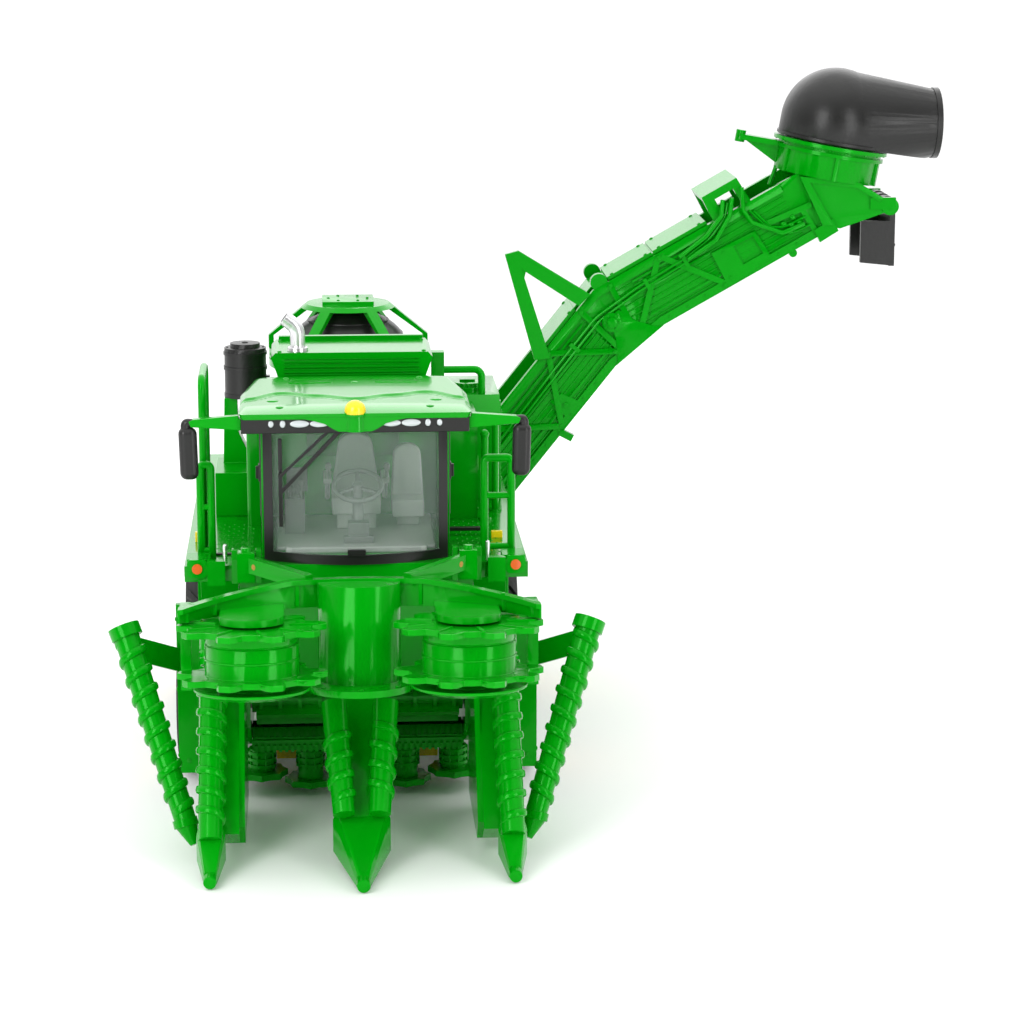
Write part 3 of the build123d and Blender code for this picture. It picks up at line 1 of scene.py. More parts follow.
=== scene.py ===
"""Looks of a 1:50 scale model of a two-row sugarcane harvester.

Lengths in this file are millimetres in machine coordinates, unless a name says
otherwise: the front axle's point on the floor is zero, the machine looks along
-Y, +X is its left side and +Z is up. They become metres when a mesh is made.
"""

import json
import logging
import math
from dataclasses import dataclass
from enum import Enum
from typing import Optional, Sequence

import bmesh
import bpy
from mathutils import Matrix, Quaternion, Vector


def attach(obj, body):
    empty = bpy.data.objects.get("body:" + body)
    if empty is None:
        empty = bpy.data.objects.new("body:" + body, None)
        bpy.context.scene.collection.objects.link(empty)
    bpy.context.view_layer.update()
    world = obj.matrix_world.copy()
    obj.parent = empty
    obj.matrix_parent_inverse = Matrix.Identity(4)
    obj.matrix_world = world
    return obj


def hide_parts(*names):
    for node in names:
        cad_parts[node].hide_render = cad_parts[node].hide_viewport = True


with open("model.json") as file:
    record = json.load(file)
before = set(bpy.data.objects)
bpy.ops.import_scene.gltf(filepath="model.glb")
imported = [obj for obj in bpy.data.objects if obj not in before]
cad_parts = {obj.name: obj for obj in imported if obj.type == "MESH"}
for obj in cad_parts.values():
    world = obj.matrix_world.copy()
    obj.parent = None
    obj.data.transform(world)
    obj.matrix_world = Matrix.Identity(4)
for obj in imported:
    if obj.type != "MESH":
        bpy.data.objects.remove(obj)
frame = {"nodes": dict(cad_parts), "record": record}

log = logging.getLogger("harvester")

MILLI = 0.001
# where the machine's zero lies in the shared frame, in millimetres
SHIFT = Vector((-41.4, -5.8, 0.0))

Point = Sequence[float]
SIDES = ((1, "left"), (-1, "right"))
UP = (0, 0, 1)
DOWN = (0, 0, -1)


def machine(x: float, y: float, z: float) -> Vector:
    """Turns machine millimetres into scene metres.

    Args:
        x: Distance to the machine's left.
        y: Distance behind the front axle.
        z: Height above the floor.

    Returns:
        The place in the shared frame.
    """
    return (Vector((x, y, z)) + SHIFT) * MILLI


# Finishes


class Finish(Enum):
    """The finishes of the model, each with its slot's name."""

    PAINT = "green_body"
    GREEN = "green_plastic"
    BLACK = "black_plastic"
    GREY = "grey_plastic"
    RUBBER = "tyre_rubber"
    YELLOW = "yellow_plastic"
    AMBER = "orange_lens"
    STEEL = "steel"
    CHROME = "bright_plating"
    PANE = "clear_pane"
    SEAT = "seat_grey"
    LAMP = "lamp_lens"
    GOLD = "gold_pin"
    # near black: the door seams' dark joints, and painted shade inside the exhaust pipe's end
    DARK = "dark_seam_and_painted_shade"


# finishes that the scene adds, with the finish whose slot in the record they share
EXTRA_SLOTS = {
    Finish.SEAT: Finish.GREY,
    Finish.LAMP: Finish.PANE,
    Finish.GOLD: Finish.YELLOW,
    Finish.DARK: Finish.BLACK,
}


class Tree:
    """A small helper that adds and joins nodes of one node tree."""

    def __init__(self, tree: bpy.types.NodeTree) -> None:
        """Keeps the node tree that is built.

        Args:
            tree: The tree of a material, a group or the world.
        """
        self.tree = tree

    def add(self, kind: str, **values: object) -> bpy.types.Node:
        """Adds a node and sets its fields and input sockets.

        Args:
            kind: The node's type name.
            **values: Fields of the node, or its sockets with spaces as underscores.

        Returns:
            The new node.
        """
        node = self.tree.nodes.new(kind)
        for key, value in values.items():
            socket = key.replace("_", " ")
            if hasattr(node, key):
                setattr(node, key, value)
            else:
                node.inputs[socket].default_value = value
        return node

    def join(self, source: bpy.types.NodeSocket, target: bpy.types.NodeSocket) -> None:
        """Links an output socket to an input socket."""
        self.tree.links.new(source, target)

    def math(self, operation: str, first: object, second: object = 0.0) -> bpy.types.NodeSocket:
        """Adds a math node on two sockets or numbers.

        Args:
            operation: The operation's name.
            first: A socket or a number.
            second: A socket or a number.

        Returns:
            The result's socket.
        """
        node = self.tree.nodes.new("ShaderNodeMath")
        node.operation = operation
        for index, value in enumerate((first, second)):
            if isinstance(value, bpy.types.NodeSocket):
                self.join(value, node.inputs[index])
            else:
                node.inputs[index].default_value = value
        return node.outputs[0]

    def remap(self, value: bpy.types.NodeSocket, low: float, high: float, to_low: float, to_high: float
              ) -> bpy.types.NodeSocket:
        """Maps a range of values to another range, clamped."""
        node = self.tree.nodes.new("ShaderNodeMapRange")
        self.join(value, node.inputs["Value"])
        limits = {"From Min": low, "From Max": high, "To Min": to_low, "To Max": to_high}
        for name, number in limits.items():
            node.inputs[name].default_value = number
        return node.outputs["Result"]

    def noise(self, vector: bpy.types.NodeSocket, scale: float, detail: float, rough: float = 0.5
              ) -> bpy.types.NodeSocket:
        """Adds a noise texture and returns its value socket."""
        node = self.tree.nodes.new("ShaderNodeTexNoise")
        self.join(vector, node.inputs["Vector"])
        node.inputs["Scale"].default_value = scale
        node.inputs["Detail"].default_value = detail
        node.inputs["Roughness"].default_value = rough
        return node.outputs["Fac"]


def moulding_group() -> bpy.types.ShaderNodeTree:
    """Builds the shared group for the skin of moulded and painted pieces.

    Returns:
        A group with a tone value, a gloss value, a height and a mask for dust.
    """
    group = bpy.data.node_groups.new("moulded_skin", "ShaderNodeTree")
    for name in ("Peel", "Flow", "Scuff"):
        socket = group.interface.new_socket(name, in_out="INPUT", socket_type="NodeSocketFloat")
        socket.default_value = 1.0
    for name in ("Tone", "Gloss", "Height", "Dust"):
        group.interface.new_socket(name, in_out="OUTPUT", socket_type="NodeSocketFloat")
    tree = Tree(group)
    inputs = tree.add("NodeGroupInput")
    outputs = tree.add("NodeGroupOutput")
    where = tree.add("ShaderNodeTexCoord").outputs["Object"]
    stretch = tree.add("ShaderNodeMapping")
    stretch.inputs["Scale"].default_value = (1.0, 0.35, 1.6)
    tree.join(where, stretch.inputs["Vector"])

    peel = tree.noise(where, 900.0, 2.0)
    flow = tree.noise(stretch.outputs["Vector"], 90.0, 3.0, 0.55)
    broad = tree.noise(where, 22.0, 2.0)
    scuff = tree.noise(stretch.outputs["Vector"], 2600.0, 4.0, 0.7)

    tone = tree.math("ADD", tree.remap(broad, 0.3, 0.7, 0.965, 1.03),
                     tree.remap(flow, 0.35, 0.65, -0.02, 0.02))
    tree.join(tone, outputs.inputs["Tone"])

    scuffed = tree.math("MULTIPLY", tree.remap(scuff, 0.52, 0.78, 0.0, 0.09), inputs.outputs["Scuff"])
    gloss = tree.math("ADD", tree.remap(flow, 0.3, 0.7, -0.035, 0.045), scuffed)
    tree.join(gloss, outputs.inputs["Gloss"])

    lumps = tree.math("MULTIPLY", tree.remap(peel, 0.3, 0.7, -0.5, 0.5), inputs.outputs["Peel"])
    waves = tree.math("MULTIPLY", tree.remap(flow, 0.3, 0.7, -1.0, 1.0), inputs.outputs["Flow"])
    tree.join(tree.math("ADD", lumps, waves), outputs.inputs["Height"])

    facing = tree.add("ShaderNodeNewGeometry").outputs["Normal"]
    split = tree.add("ShaderNodeSeparateXYZ")
    tree.join(facing, split.inputs["Vector"])
    upward = tree.remap(split.outputs["Z"], 0.55, 0.98, 0.0, 1.0)
    specks = tree.remap(tree.noise(where, 160.0, 4.0, 0.6), 0.42, 0.75, 0.0, 1.0)
    tree.join(tree.math("MULTIPLY", upward, specks), outputs.inputs["Dust"])
    return group


def start_material(name: str, colour: Sequence[float], alpha: float = 1.0
                   ) -> tuple[bpy.types.Material, Tree, bpy.types.ShaderNode]:
    """Makes an empty material.

    Args:
        name: The material's name.
        colour: Its colour in the viewport.
        alpha: Its alpha in the viewport.

    Returns:
        The material, its tree and its main shader.
    """
    material = bpy.data.materials.new(name)
    material.use_nodes = True
    material.diffuse_color = (*colour, alpha)
    return material, Tree(material.node_tree), material.node_tree.nodes["Principled BSDF"]


def blend(tree: Tree, low: Sequence[float], high: Sequence[float]) -> bpy.types.ShaderNode:
    """Adds a mix of two colours, whose factor is still open."""
    mix = tree.add("ShaderNodeMix", data_type="RGBA")
    mix.inputs["A"].default_value = (*low, 1.0)
    mix.inputs["B"].default_value = (*high, 1.0)
    return mix


def add_bumps(tree: Tree, skin: bpy.types.ShaderNode, shader: bpy.types.ShaderNode, strength: float,
              depth: float) -> None:
    """Leads the skin's height into a shader's normal.

    Args:
        tree: The material's tree.
        skin: The node of the shared group.
        shader: The main shader.
        strength: How strong the bumps are.
        depth: Their depth in metres.
    """
    bump = tree.add("ShaderNodeBump")
    bump.inputs["Strength"].default_value = strength
    bump.inputs["Distance"].default_value = depth
    tree.join(skin.outputs["Height"], bump.inputs["Height"])
    tree.join(bump.outputs["Normal"], shader.inputs["Normal"])


PLASTIC_IOR = 1.5
DUST = (0.55, 0.55, 0.5)


@dataclass(frozen=True)
class Moulding:
    """A plastic or painted finish with a moulded skin.

    Attributes:
        name: The material's name.
        colour: Linear base colour.
        roughness: The shader's base roughness.
        coat: How strong the clear coat is.
        peel: How strong the fine bumps are.
        flow: How strong the broad waves are.
        scuff: How strong the fine scuffs are.
        dust: How much dust lies on faces that look up.
        shade: How much darker the deepest tone is.
        metallic: How metallic the surface is.
        relief: Depth of the bumps in metres.
        gleam: Strength of the plain reflection.
        tint: Colour of the plain reflection.
    """

    name: str
    colour: tuple[float, float, float]
    roughness: float = 0.25
    coat: float = 0.0
    peel: float = 1.0
    flow: float = 1.0
    scuff: float = 1.0
    dust: float = 0.02
    shade: float = 0.8
    metallic: float = 0.0
    relief: float = 0.00001
    gleam: float = 0.5
    tint: tuple[float, float, float] = (1.0, 1.0, 1.0)

    def build(self) -> bpy.types.Material:
        """Builds the material.

        Returns:
            The finished material.
        """
        material, tree, shader = start_material(self.name, self.colour)
        shader.inputs["Metallic"].default_value = self.metallic
        shader.inputs["Coat Weight"].default_value = self.coat
        shader.inputs["Coat Roughness"].default_value = 0.06
        shader.inputs["IOR"].default_value = PLASTIC_IOR
        shader.inputs["Specular IOR Level"].default_value = self.gleam
        shader.inputs["Specular Tint"].default_value = (*self.tint, 1.0)
        skin = tree.add("ShaderNodeGroup")
        skin.node_tree = Library.moulding
        for name, value in (("Peel", self.peel), ("Flow", self.flow), ("Scuff", self.scuff)):
            skin.inputs[name].default_value = value

        mix = blend(tree, [part * self.shade for part in self.colour], self.colour)
        tree.join(tree.remap(skin.outputs["Tone"], 0.95, 1.05, 0.3, 1.15), mix.inputs["Factor"])
        dusty = tree.add("ShaderNodeMix", data_type="RGBA")
        dusty.inputs["B"].default_value = (*DUST, 1.0)
        tree.join(mix.outputs["Result"], dusty.inputs["A"])
        tree.join(tree.math("MULTIPLY", skin.outputs["Dust"], self.dust), dusty.inputs["Factor"])
        tree.join(dusty.outputs["Result"], shader.inputs["Base Color"])

        rough = tree.math("ADD", skin.outputs["Gloss"], self.roughness)
        rough = tree.math("ADD", rough, tree.math("MULTIPLY", skin.outputs["Dust"], self.dust * 1.5))
        tree.join(rough, shader.inputs["Roughness"])
        add_bumps(tree, skin, shader, 0.6, self.relief)
        return material


@dataclass(frozen=True)
class Pane:
    """A thin clear or tinted pane.

    Attributes:
        name: The material's name.
        colour: Linear tint of what shows through.
        clear: Share of light that goes straight through.
        roughness: Roughness of its gloss.
    """

    name: str
    colour: tuple[float, float, float]
    clear: float
    roughness: float = 0.04

    def build(self) -> bpy.types.Material:
        """Builds the material.

        Returns:
            The finished material.
        """
        material, tree, shader = start_material(self.name, self.colour, 1.0 - self.clear)
        shader.inputs["IOR"].default_value = PLASTIC_IOR
        shader.inputs["Coat Weight"].default_value = 0.6
        shader.inputs["Coat Roughness"].default_value = 0.02
        skin = tree.add("ShaderNodeGroup")
        skin.node_tree = Library.moulding
        mix = blend(tree, [part * 0.85 for part in self.colour], self.colour)
        tree.join(tree.remap(skin.outputs["Tone"], 0.95, 1.05, 0.0, 1.0), mix.inputs["Factor"])
        tree.join(mix.outputs["Result"], shader.inputs["Base Color"])
        tree.join(tree.math("ADD", tree.math("MULTIPLY", skin.outputs["Gloss"], 0.4), self.roughness),
                  shader.inputs["Roughness"])
        alpha = tree.math("ADD", tree.math("MULTIPLY", skin.outputs["Dust"], 0.1), 1.0 - self.clear)
        haze = tree.remap(skin.outputs["Gloss"], -0.05, 0.2, -0.02, 0.06)
        tree.join(tree.math("ADD", alpha, haze), shader.inputs["Alpha"])
        add_bumps(tree, skin, shader, 0.3, 0.000004)
        return material


# tint of the green pieces' reflections
LEAF = (0.12, 1.0, 0.16)
RECIPES = {
    Finish.PAINT: Moulding("green_paint", (0.0, 0.29, 0.003), 0.16, coat=0.3, peel=0.3, scuff=0.5,
                           dust=0.004, shade=0.88, gleam=0.4, tint=LEAF),
    Finish.GREEN: Moulding("green_moulded", (0.0, 0.3, 0.003), 0.19, coat=0.1, peel=0.35, scuff=0.5,
                           dust=0.004, shade=0.88, gleam=0.4, tint=LEAF),
    Finish.BLACK: Moulding("black_moulded", (0.011, 0.011, 0.0105), 0.34, gleam=0.4, peel=1.6,
                           relief=0.000014, dust=0.03),
    Finish.GREY: Moulding("grey_moulded", (0.2, 0.21, 0.205), 0.42, peel=1.4),
    Finish.RUBBER: Moulding("soft_rubber", (0.014, 0.014, 0.014), 0.58, peel=2.2,
                            relief=0.00002, dust=0.05),
    Finish.YELLOW: Moulding("yellow_moulded", (0.92, 0.66, 0.006), 0.26, coat=0.2, peel=0.6, shade=0.86),
    Finish.AMBER: Moulding("amber_lens", (0.78, 0.12, 0.008), 0.18, coat=0.5, peel=0.5),
    Finish.STEEL: Moulding("drawn_steel", (0.5, 0.5, 0.5), 0.32, metallic=1.0, peel=0.8, flow=2.0),
    Finish.CHROME: Moulding("bright_plate", (0.8, 0.8, 0.81), 0.28, metallic=1.0, peel=0.2, scuff=0.3),
    Finish.PANE: Pane("tinted_pane", (0.4, 0.54, 0.45), 0.87),
    Finish.SEAT: Moulding("seat_moulded", (0.42, 0.44, 0.42), 0.5, peel=2.4, relief=0.000016),
    Finish.LAMP: Moulding("lamp_lens", (0.62, 0.65, 0.68), 0.12, coat=0.8, peel=0.2, flow=0.3),
    Finish.GOLD: Moulding("gold_pin", (0.5, 0.3, 0.07), 0.3, metallic=1.0, peel=0.4),
    # near-black finish for the door seams, and painted shade standing in for the exhaust pipe's hollow end
    Finish.DARK: Moulding("dark_seam_and_painted_shade", (0.006, 0.008, 0.006), 0.6, peel=1.0, dust=0.0),
}


class Library:
    """Holds the shared shader group and the materials made from it."""

    moulding: bpy.types.ShaderNodeTree
    made: dict[Finish, bpy.types.Material] = {}

    @classmethod
    def open(cls) -> None:
        """Builds the group and every finish."""
        cls.moulding = moulding_group()
        cls.made = {finish: recipe.build() for finish, recipe in RECIPES.items()}

    @classmethod
    def slot_of(cls, finish: Finish) -> str:
        """Gives the record's slot name of a finish."""
        return EXTRA_SLOTS.get(finish, finish).value


# Mesh tools


def circle_frame(direction: Vector) -> Quaternion:
    """Gives the turn that brings +Z to a direction."""
    return direction.normalized().to_track_quat("Z", "Y")


class Mould:
    """Collects the geometry of one piece in machine millimetres."""

    # a stud: how deep it is sunk, its rim's share of the height, its dome's shares of the radius
    SUNK = 0.15
    RIM_SHARE = 0.75
    DOME_FOOT = 0.82
    DOME_TOP = 0.5

    def __init__(self) -> None:
        """Starts with an empty mesh."""
        self.bm = bmesh.new()

    def box(self, x: Point, y: Point, z: Point, turn: Optional[Matrix] = None) -> None:
        """Adds a box between pairs of coordinates.

        Args:
            x: Lowest and highest X.
            y: Lowest and highest Y.
            z: Lowest and highest Z.
            turn: An extra matrix applied to the box.
        """
        size = Matrix.Diagonal((x[1] - x[0], y[1] - y[0], z[1] - z[0], 1.0))
        centre = Matrix.Translation((sum(x) / 2, sum(y) / 2, sum(z) / 2))
        matrix = centre @ size
        if turn is not None:
            matrix = turn @ matrix
        bmesh.ops.create_cube(self.bm, size=1.0, matrix=matrix)

    def rod(self, start: Point, end: Point, radius: float, tip: Optional[float] = None,
            segments: int = 16) -> None:
        """Adds a round bar or cone between two points."""
        first, last = Vector(start), Vector(end)
        matrix = Matrix.Translation((first + last) / 2) @ circle_frame(last - first).to_matrix().to_4x4()
        bmesh.ops.create_cone(
            self.bm, cap_ends=True, segments=segments, radius1=radius,
            radius2=radius if tip is None else tip, depth=(last - first).length, matrix=matrix,
        )

    def oval(self, centre: Point, half: Point, segments: int = 20) -> None:
        """Adds a ball stretched to three half sizes."""
        matrix = Matrix.Translation(centre) @ Matrix.Diagonal((*half, 1.0))
        bmesh.ops.create_uvsphere(self.bm, u_segments=segments, v_segments=segments // 2, radius=1.0,
                                  matrix=matrix)

    def bar(self, start: Point, end: Point, tall: float, thick: float) -> None:
        """Adds a straight flat bar that stands on edge between two points."""
        first, last = Vector(start), Vector(end)
        along = (last - first).normalized()
        across = along.cross(Vector((0, 0, 1))).normalized()
        upward = across.cross(along)
        turn = Matrix((across, upward, along)).transposed().to_4x4()
        size = Matrix.Diagonal((thick, tall, (last - first).length, 1.0))
        matrix = Matrix.Translation((first + last) / 2) @ turn @ size
        bmesh.ops.create_cube(self.bm, size=1.0, matrix=matrix)

    def studs(self, spots: Sequence[Point], direction: Point, radius: float, height: float,
              segments: int = 12) -> None:
        """Adds like studs with a small dome at each spot.

        Args:
            spots: Where the studs stand.
            direction: Where they point.
            radius: Their radius.
            height: How far they stand out.
            segments: Sides of each stud, six for a bolt's head.
        """
        way = Vector(direction).normalized()
        for spot in spots:
            foot = Vector(spot) - way * self.SUNK
            rim, top = (foot + way * (rise + self.SUNK) for rise in (height * self.RIM_SHARE, height))
            self.rod(foot, rim, radius, segments=segments)
            self.rod(foot, top, radius * self.DOME_FOOT, radius * self.DOME_TOP, segments)

    def tube(self, points: Sequence[Point], radius: float, segments: int = 10, bend: float = 0.0) -> None:
        """Adds a round tube that follows points, with its corners eased."""
        route = ease(points, bend) if bend else [Vector(point) for point in points]
        rings = []
        turn = circle_frame(route[1] - route[0])
        previous = (route[1] - route[0]).normalized()
        for index, centre in enumerate(route):
            ahead = route[min(index + 1, len(route) - 1)] - route[max(index - 1, 0)]
            along = ahead.normalized()
            turn = previous.rotation_difference(along) @ turn
            previous = along
            ring = []
            for step in range(segments):
                angle = math.tau * step / segments
                offset = turn @ Vector((math.cos(angle) * radius, math.sin(angle) * radius, 0.0))
                ring.append(self.bm.verts.new(centre + offset))
            rings.append(ring)
        for low, high in zip(rings, rings[1:]):
            for step in range(segments):
                after = (step + 1) % segments
                self.bm.faces.new((low[step], low[after], high[after], high[step]))
        self.bm.faces.new(list(reversed(rings[0])))
        self.bm.faces.new(rings[-1])

    def plate(self, outline: Sequence[Point], low: float, high: float) -> None:
        """Adds an upright plate from an outline.

        Args:
            outline: Corners in X and Z, in order.
            low: Its front face's Y.
            high: Its rear face's Y.
        """
        face = self.bm.faces.new([self.bm.verts.new((x, low, z)) for x, z in outline])
        extruded = bmesh.ops.extrude_face_region(self.bm, geom=[face])["geom"]
        moved = [item for item in extruded if isinstance(item, bmesh.types.BMVert)]
        bmesh.ops.translate(self.bm, verts=moved, vec=(0.0, high - low, 0.0))

    def lathe(self, profile: Sequence[Point], place: Matrix, segments: int = 48) -> None:
        """Spins a profile of (radius, height) points round a place's Z axis."""
        verts = [self.bm.verts.new((radius, 0.0, height)) for radius, height in profile]
        edges = [self.bm.edges.new(pair) for pair in zip(verts, verts[1:])]
        bmesh.ops.spin(
            self.bm, geom=verts + edges, cent=(0, 0, 0), axis=(0, 0, 1), angle=math.tau, steps=segments,
            use_merge=True,
        )
        ring = connected(verts[0])
        bmesh.ops.transform(self.bm, matrix=place, verts=ring)
        bmesh.ops.remove_doubles(self.bm, verts=ring, dist=1e-4)

    def piece(self, name: str, finish: Finish, body: str, soften: float = 0.0, angle: float = 35.0,
              segments: int = 2) -> bpy.types.Object:
        """Turns the geometry into an object that rides on a CAD body.

        Args:
            name: The object's name.
            finish: Its finish.
            body: The CAD body that it rides on.
            soften: Width of its bevelled edges in millimetres, or zero.
            angle: The smallest angle that counts as an edge, in degrees.
            segments: Segments of the bevel.

        Returns:
            The finished object.
        """
        bmesh.ops.recalc_face_normals(self.bm, faces=self.bm.faces)
        bmesh.ops.translate(self.bm, verts=self.bm.verts, vec=SHIFT)
        bmesh.ops.scale(self.bm, verts=self.bm.verts, vec=(MILLI, MILLI, MILLI))
        mesh = bpy.data.meshes.new(name)
        self.bm.to_mesh(mesh)
        self.bm.free()
        return dress(mesh, name, finish, body, soften, angle, segments)


def connected(start: bmesh.types.BMVert) -> list[bmesh.types.BMVert]:
    """Collects every vertex joined to one by edges."""
    found = {start}
    queue = [start]
    while queue:
        vert = queue.pop()
        for edge in vert.link_edges:
            other = edge.other_vert(vert)
            if other not in found:
                found.add(other)
                queue.append(other)
    return list(found)


def ease(points: Sequence[Point], radius: float, steps: int = 6) -> list[Vector]:
    """Rounds the corners of a route with short curves."""
    route = [Vector(point) for point in points]
    eased = [route[0]]
    for before, corner, after in zip(route, route[1:], route[2:]):
        reach = min(radius, (before - corner).length * 0.45, (after - corner).length * 0.45)
        enter = corner + (before - corner).normalized() * reach
        leave = corner + (after - corner).normalized() * reach
        for step in range(steps + 1):
            share = step / steps
            eased.append(enter.lerp(corner, share).lerp(corner.lerp(leave, share), share))
    eased.append(route[-1])
    return eased


def ring_spots(centre: Point, radius: float, count: int, start: float = 0.0, upright: bool = False
               ) -> list[Point]:
    """Lists places on a circle.

    Args:
        centre: The circle's middle.
        radius: Its radius.
        count: How many places lie on it.
        start: Angle of the first place in radians.
        upright: Whether it stands in X and Z instead of lying level.

    Returns:
        The places in order.
    """
    spots = []
    for turn in range(count):
        angle = start + math.tau * turn / count
        across, rise = radius * math.cos(angle), radius * math.sin(angle)
        if upright:
            spots.append((centre[0] + across, centre[1], centre[2] + rise))
        else:
            spots.append((centre[0] + across, centre[1] + rise, centre[2]))
    return spots


def upright_loop(x: float, y: Point, z: Point) -> list[Point]:
    """Lists the corners of an upright rectangle in Y and Z, back to its first one."""
    return [(x, y[0], z[0]), (x, y[1], z[0]), (x, y[1], z[1]), (x, y[0], z[1]), (x, y[0], z[0])]


def cord(radius: float, height: float, thick: float, steps: int) -> list[Point]:
    """Outlines a round cord for the lathe as (radius, height) points."""
    return [(radius + thick * math.cos(math.tau * turn / steps),
             height + thick * math.sin(math.tau * turn / steps)) for turn in range(steps + 1)]


def span(side: int, near: float, far: float) -> list[float]:
    """Gives the lowest and highest X of a box on one side of the machine."""
    return sorted((side * near, side * far))


def dress(mesh: bpy.types.Mesh, name: str, finish: Finish, body: str, soften: float, angle: float,
          segments: int) -> bpy.types.Object:
    """Gives a mesh its object, finish, soft edges and body."""
    mesh.materials.clear()
    mesh.materials.append(Library.made[finish])
    for polygon in mesh.polygons:
        polygon.use_smooth = True
    mesh.set_sharp_from_angle(angle=math.radians(angle))
    piece = bpy.data.objects.new(name, mesh)
    bpy.context.scene.collection.objects.link(piece)
    if soften:
        bevel = piece.modifiers.new("soft_edges", "BEVEL")
        bevel.width = soften * MILLI
        bevel.segments = segments
        bevel.limit_method = "ANGLE"
        bevel.angle_limit = math.radians(angle)
        bevel.use_clamp_overlap = True
        bevel.harden_normals = True
    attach(piece, body)
    Library.slot_of(finish)
    return piece


def body_of_node(node: str) -> str:
    """Finds the CAD body that a node belongs to."""
    for body, members in frame["record"]["behaviour"]["bodies"].items():
        if node in members:
            return body
    raise KeyError(node)


@dataclass
class Skin:
    """A CAD node shown as a softened copy of its own mesh.

    Attributes:
        node: The CAD node.
        finish: Its finish.
        soften: Width of its bevelled edges in millimetres.
        angle: The smallest angle that counts as an edge, in degrees.
    """

    node: str
    finish: Finish
    soften: float = 0.14
    angle: float = 32.0

    # metres under which points merge and edges count as slivers
    MERGE = 2e-6
    SLIVER = 1e-6
    # degrees under which neighbours count as one face, and the most corners a face may keep
    FLAT = 0.8
    MOST_CORNERS = 16

    def build(self) -> bpy.types.Object:
        """Copies, merges and softens the node's mesh.

        Returns:
            The object that stands for the node.
        """
        mesh = frame["nodes"][self.node].data.copy()
        mesh.name = self.node
        work = bmesh.new()
        work.from_mesh(mesh)
        bmesh.ops.remove_doubles(work, verts=work.verts, dist=self.MERGE)
        bmesh.ops.dissolve_degenerate(work, edges=work.edges, dist=self.SLIVER)
        bmesh.ops.dissolve_limit(
            work, angle_limit=math.radians(self.FLAT), verts=work.verts, edges=work.edges,
            use_dissolve_boundaries=False,
        )
        wide = [face for face in work.faces if len(face.verts) > self.MOST_CORNERS]
        bmesh.ops.triangulate(work, faces=wide, quad_method="BEAUTY", ngon_method="BEAUTY")
        bmesh.ops.recalc_face_normals(work, faces=work.faces)
        work.to_mesh(mesh)
        work.free()
        piece = dress(mesh, f"{self.node}_look", self.finish, body_of_node(self.node), self.soften,
                      self.angle, 2)
        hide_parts(self.node)
        return piece


# Wheels


@dataclass(frozen=True)
class WheelSize:
    """The sizes of one axle's wheels.

    Attributes:
        end: Name of the axle.
        axle_y: Where the axle is.
        radius: Outer radius over the lugs.
        width: Width of the tyre.
        rim_radius: Radius where the tyre sits on the rim.
        hub_radius: Radius of the hub.
        lugs: Lugs in each of the two rows.
        face: Distance of the outer face from the centre plane.
        nuts: Number of wheel nuts.
    """

    end: str
    axle_y: float
    radius: float
    width: float
    rim_radius: float
    hub_radius: float
    lugs: int
    face: float
    nuts: int


FRONT_WHEEL = WheelSize("front", 0.0, 13.5, 11.5, 7.6, 3.0, 14, 35.3, 8)
REAR_WHEEL = WheelSize("rear", 58.0, 16.0, 13.0, 9.2, 3.4, 16, 35.6, 10)


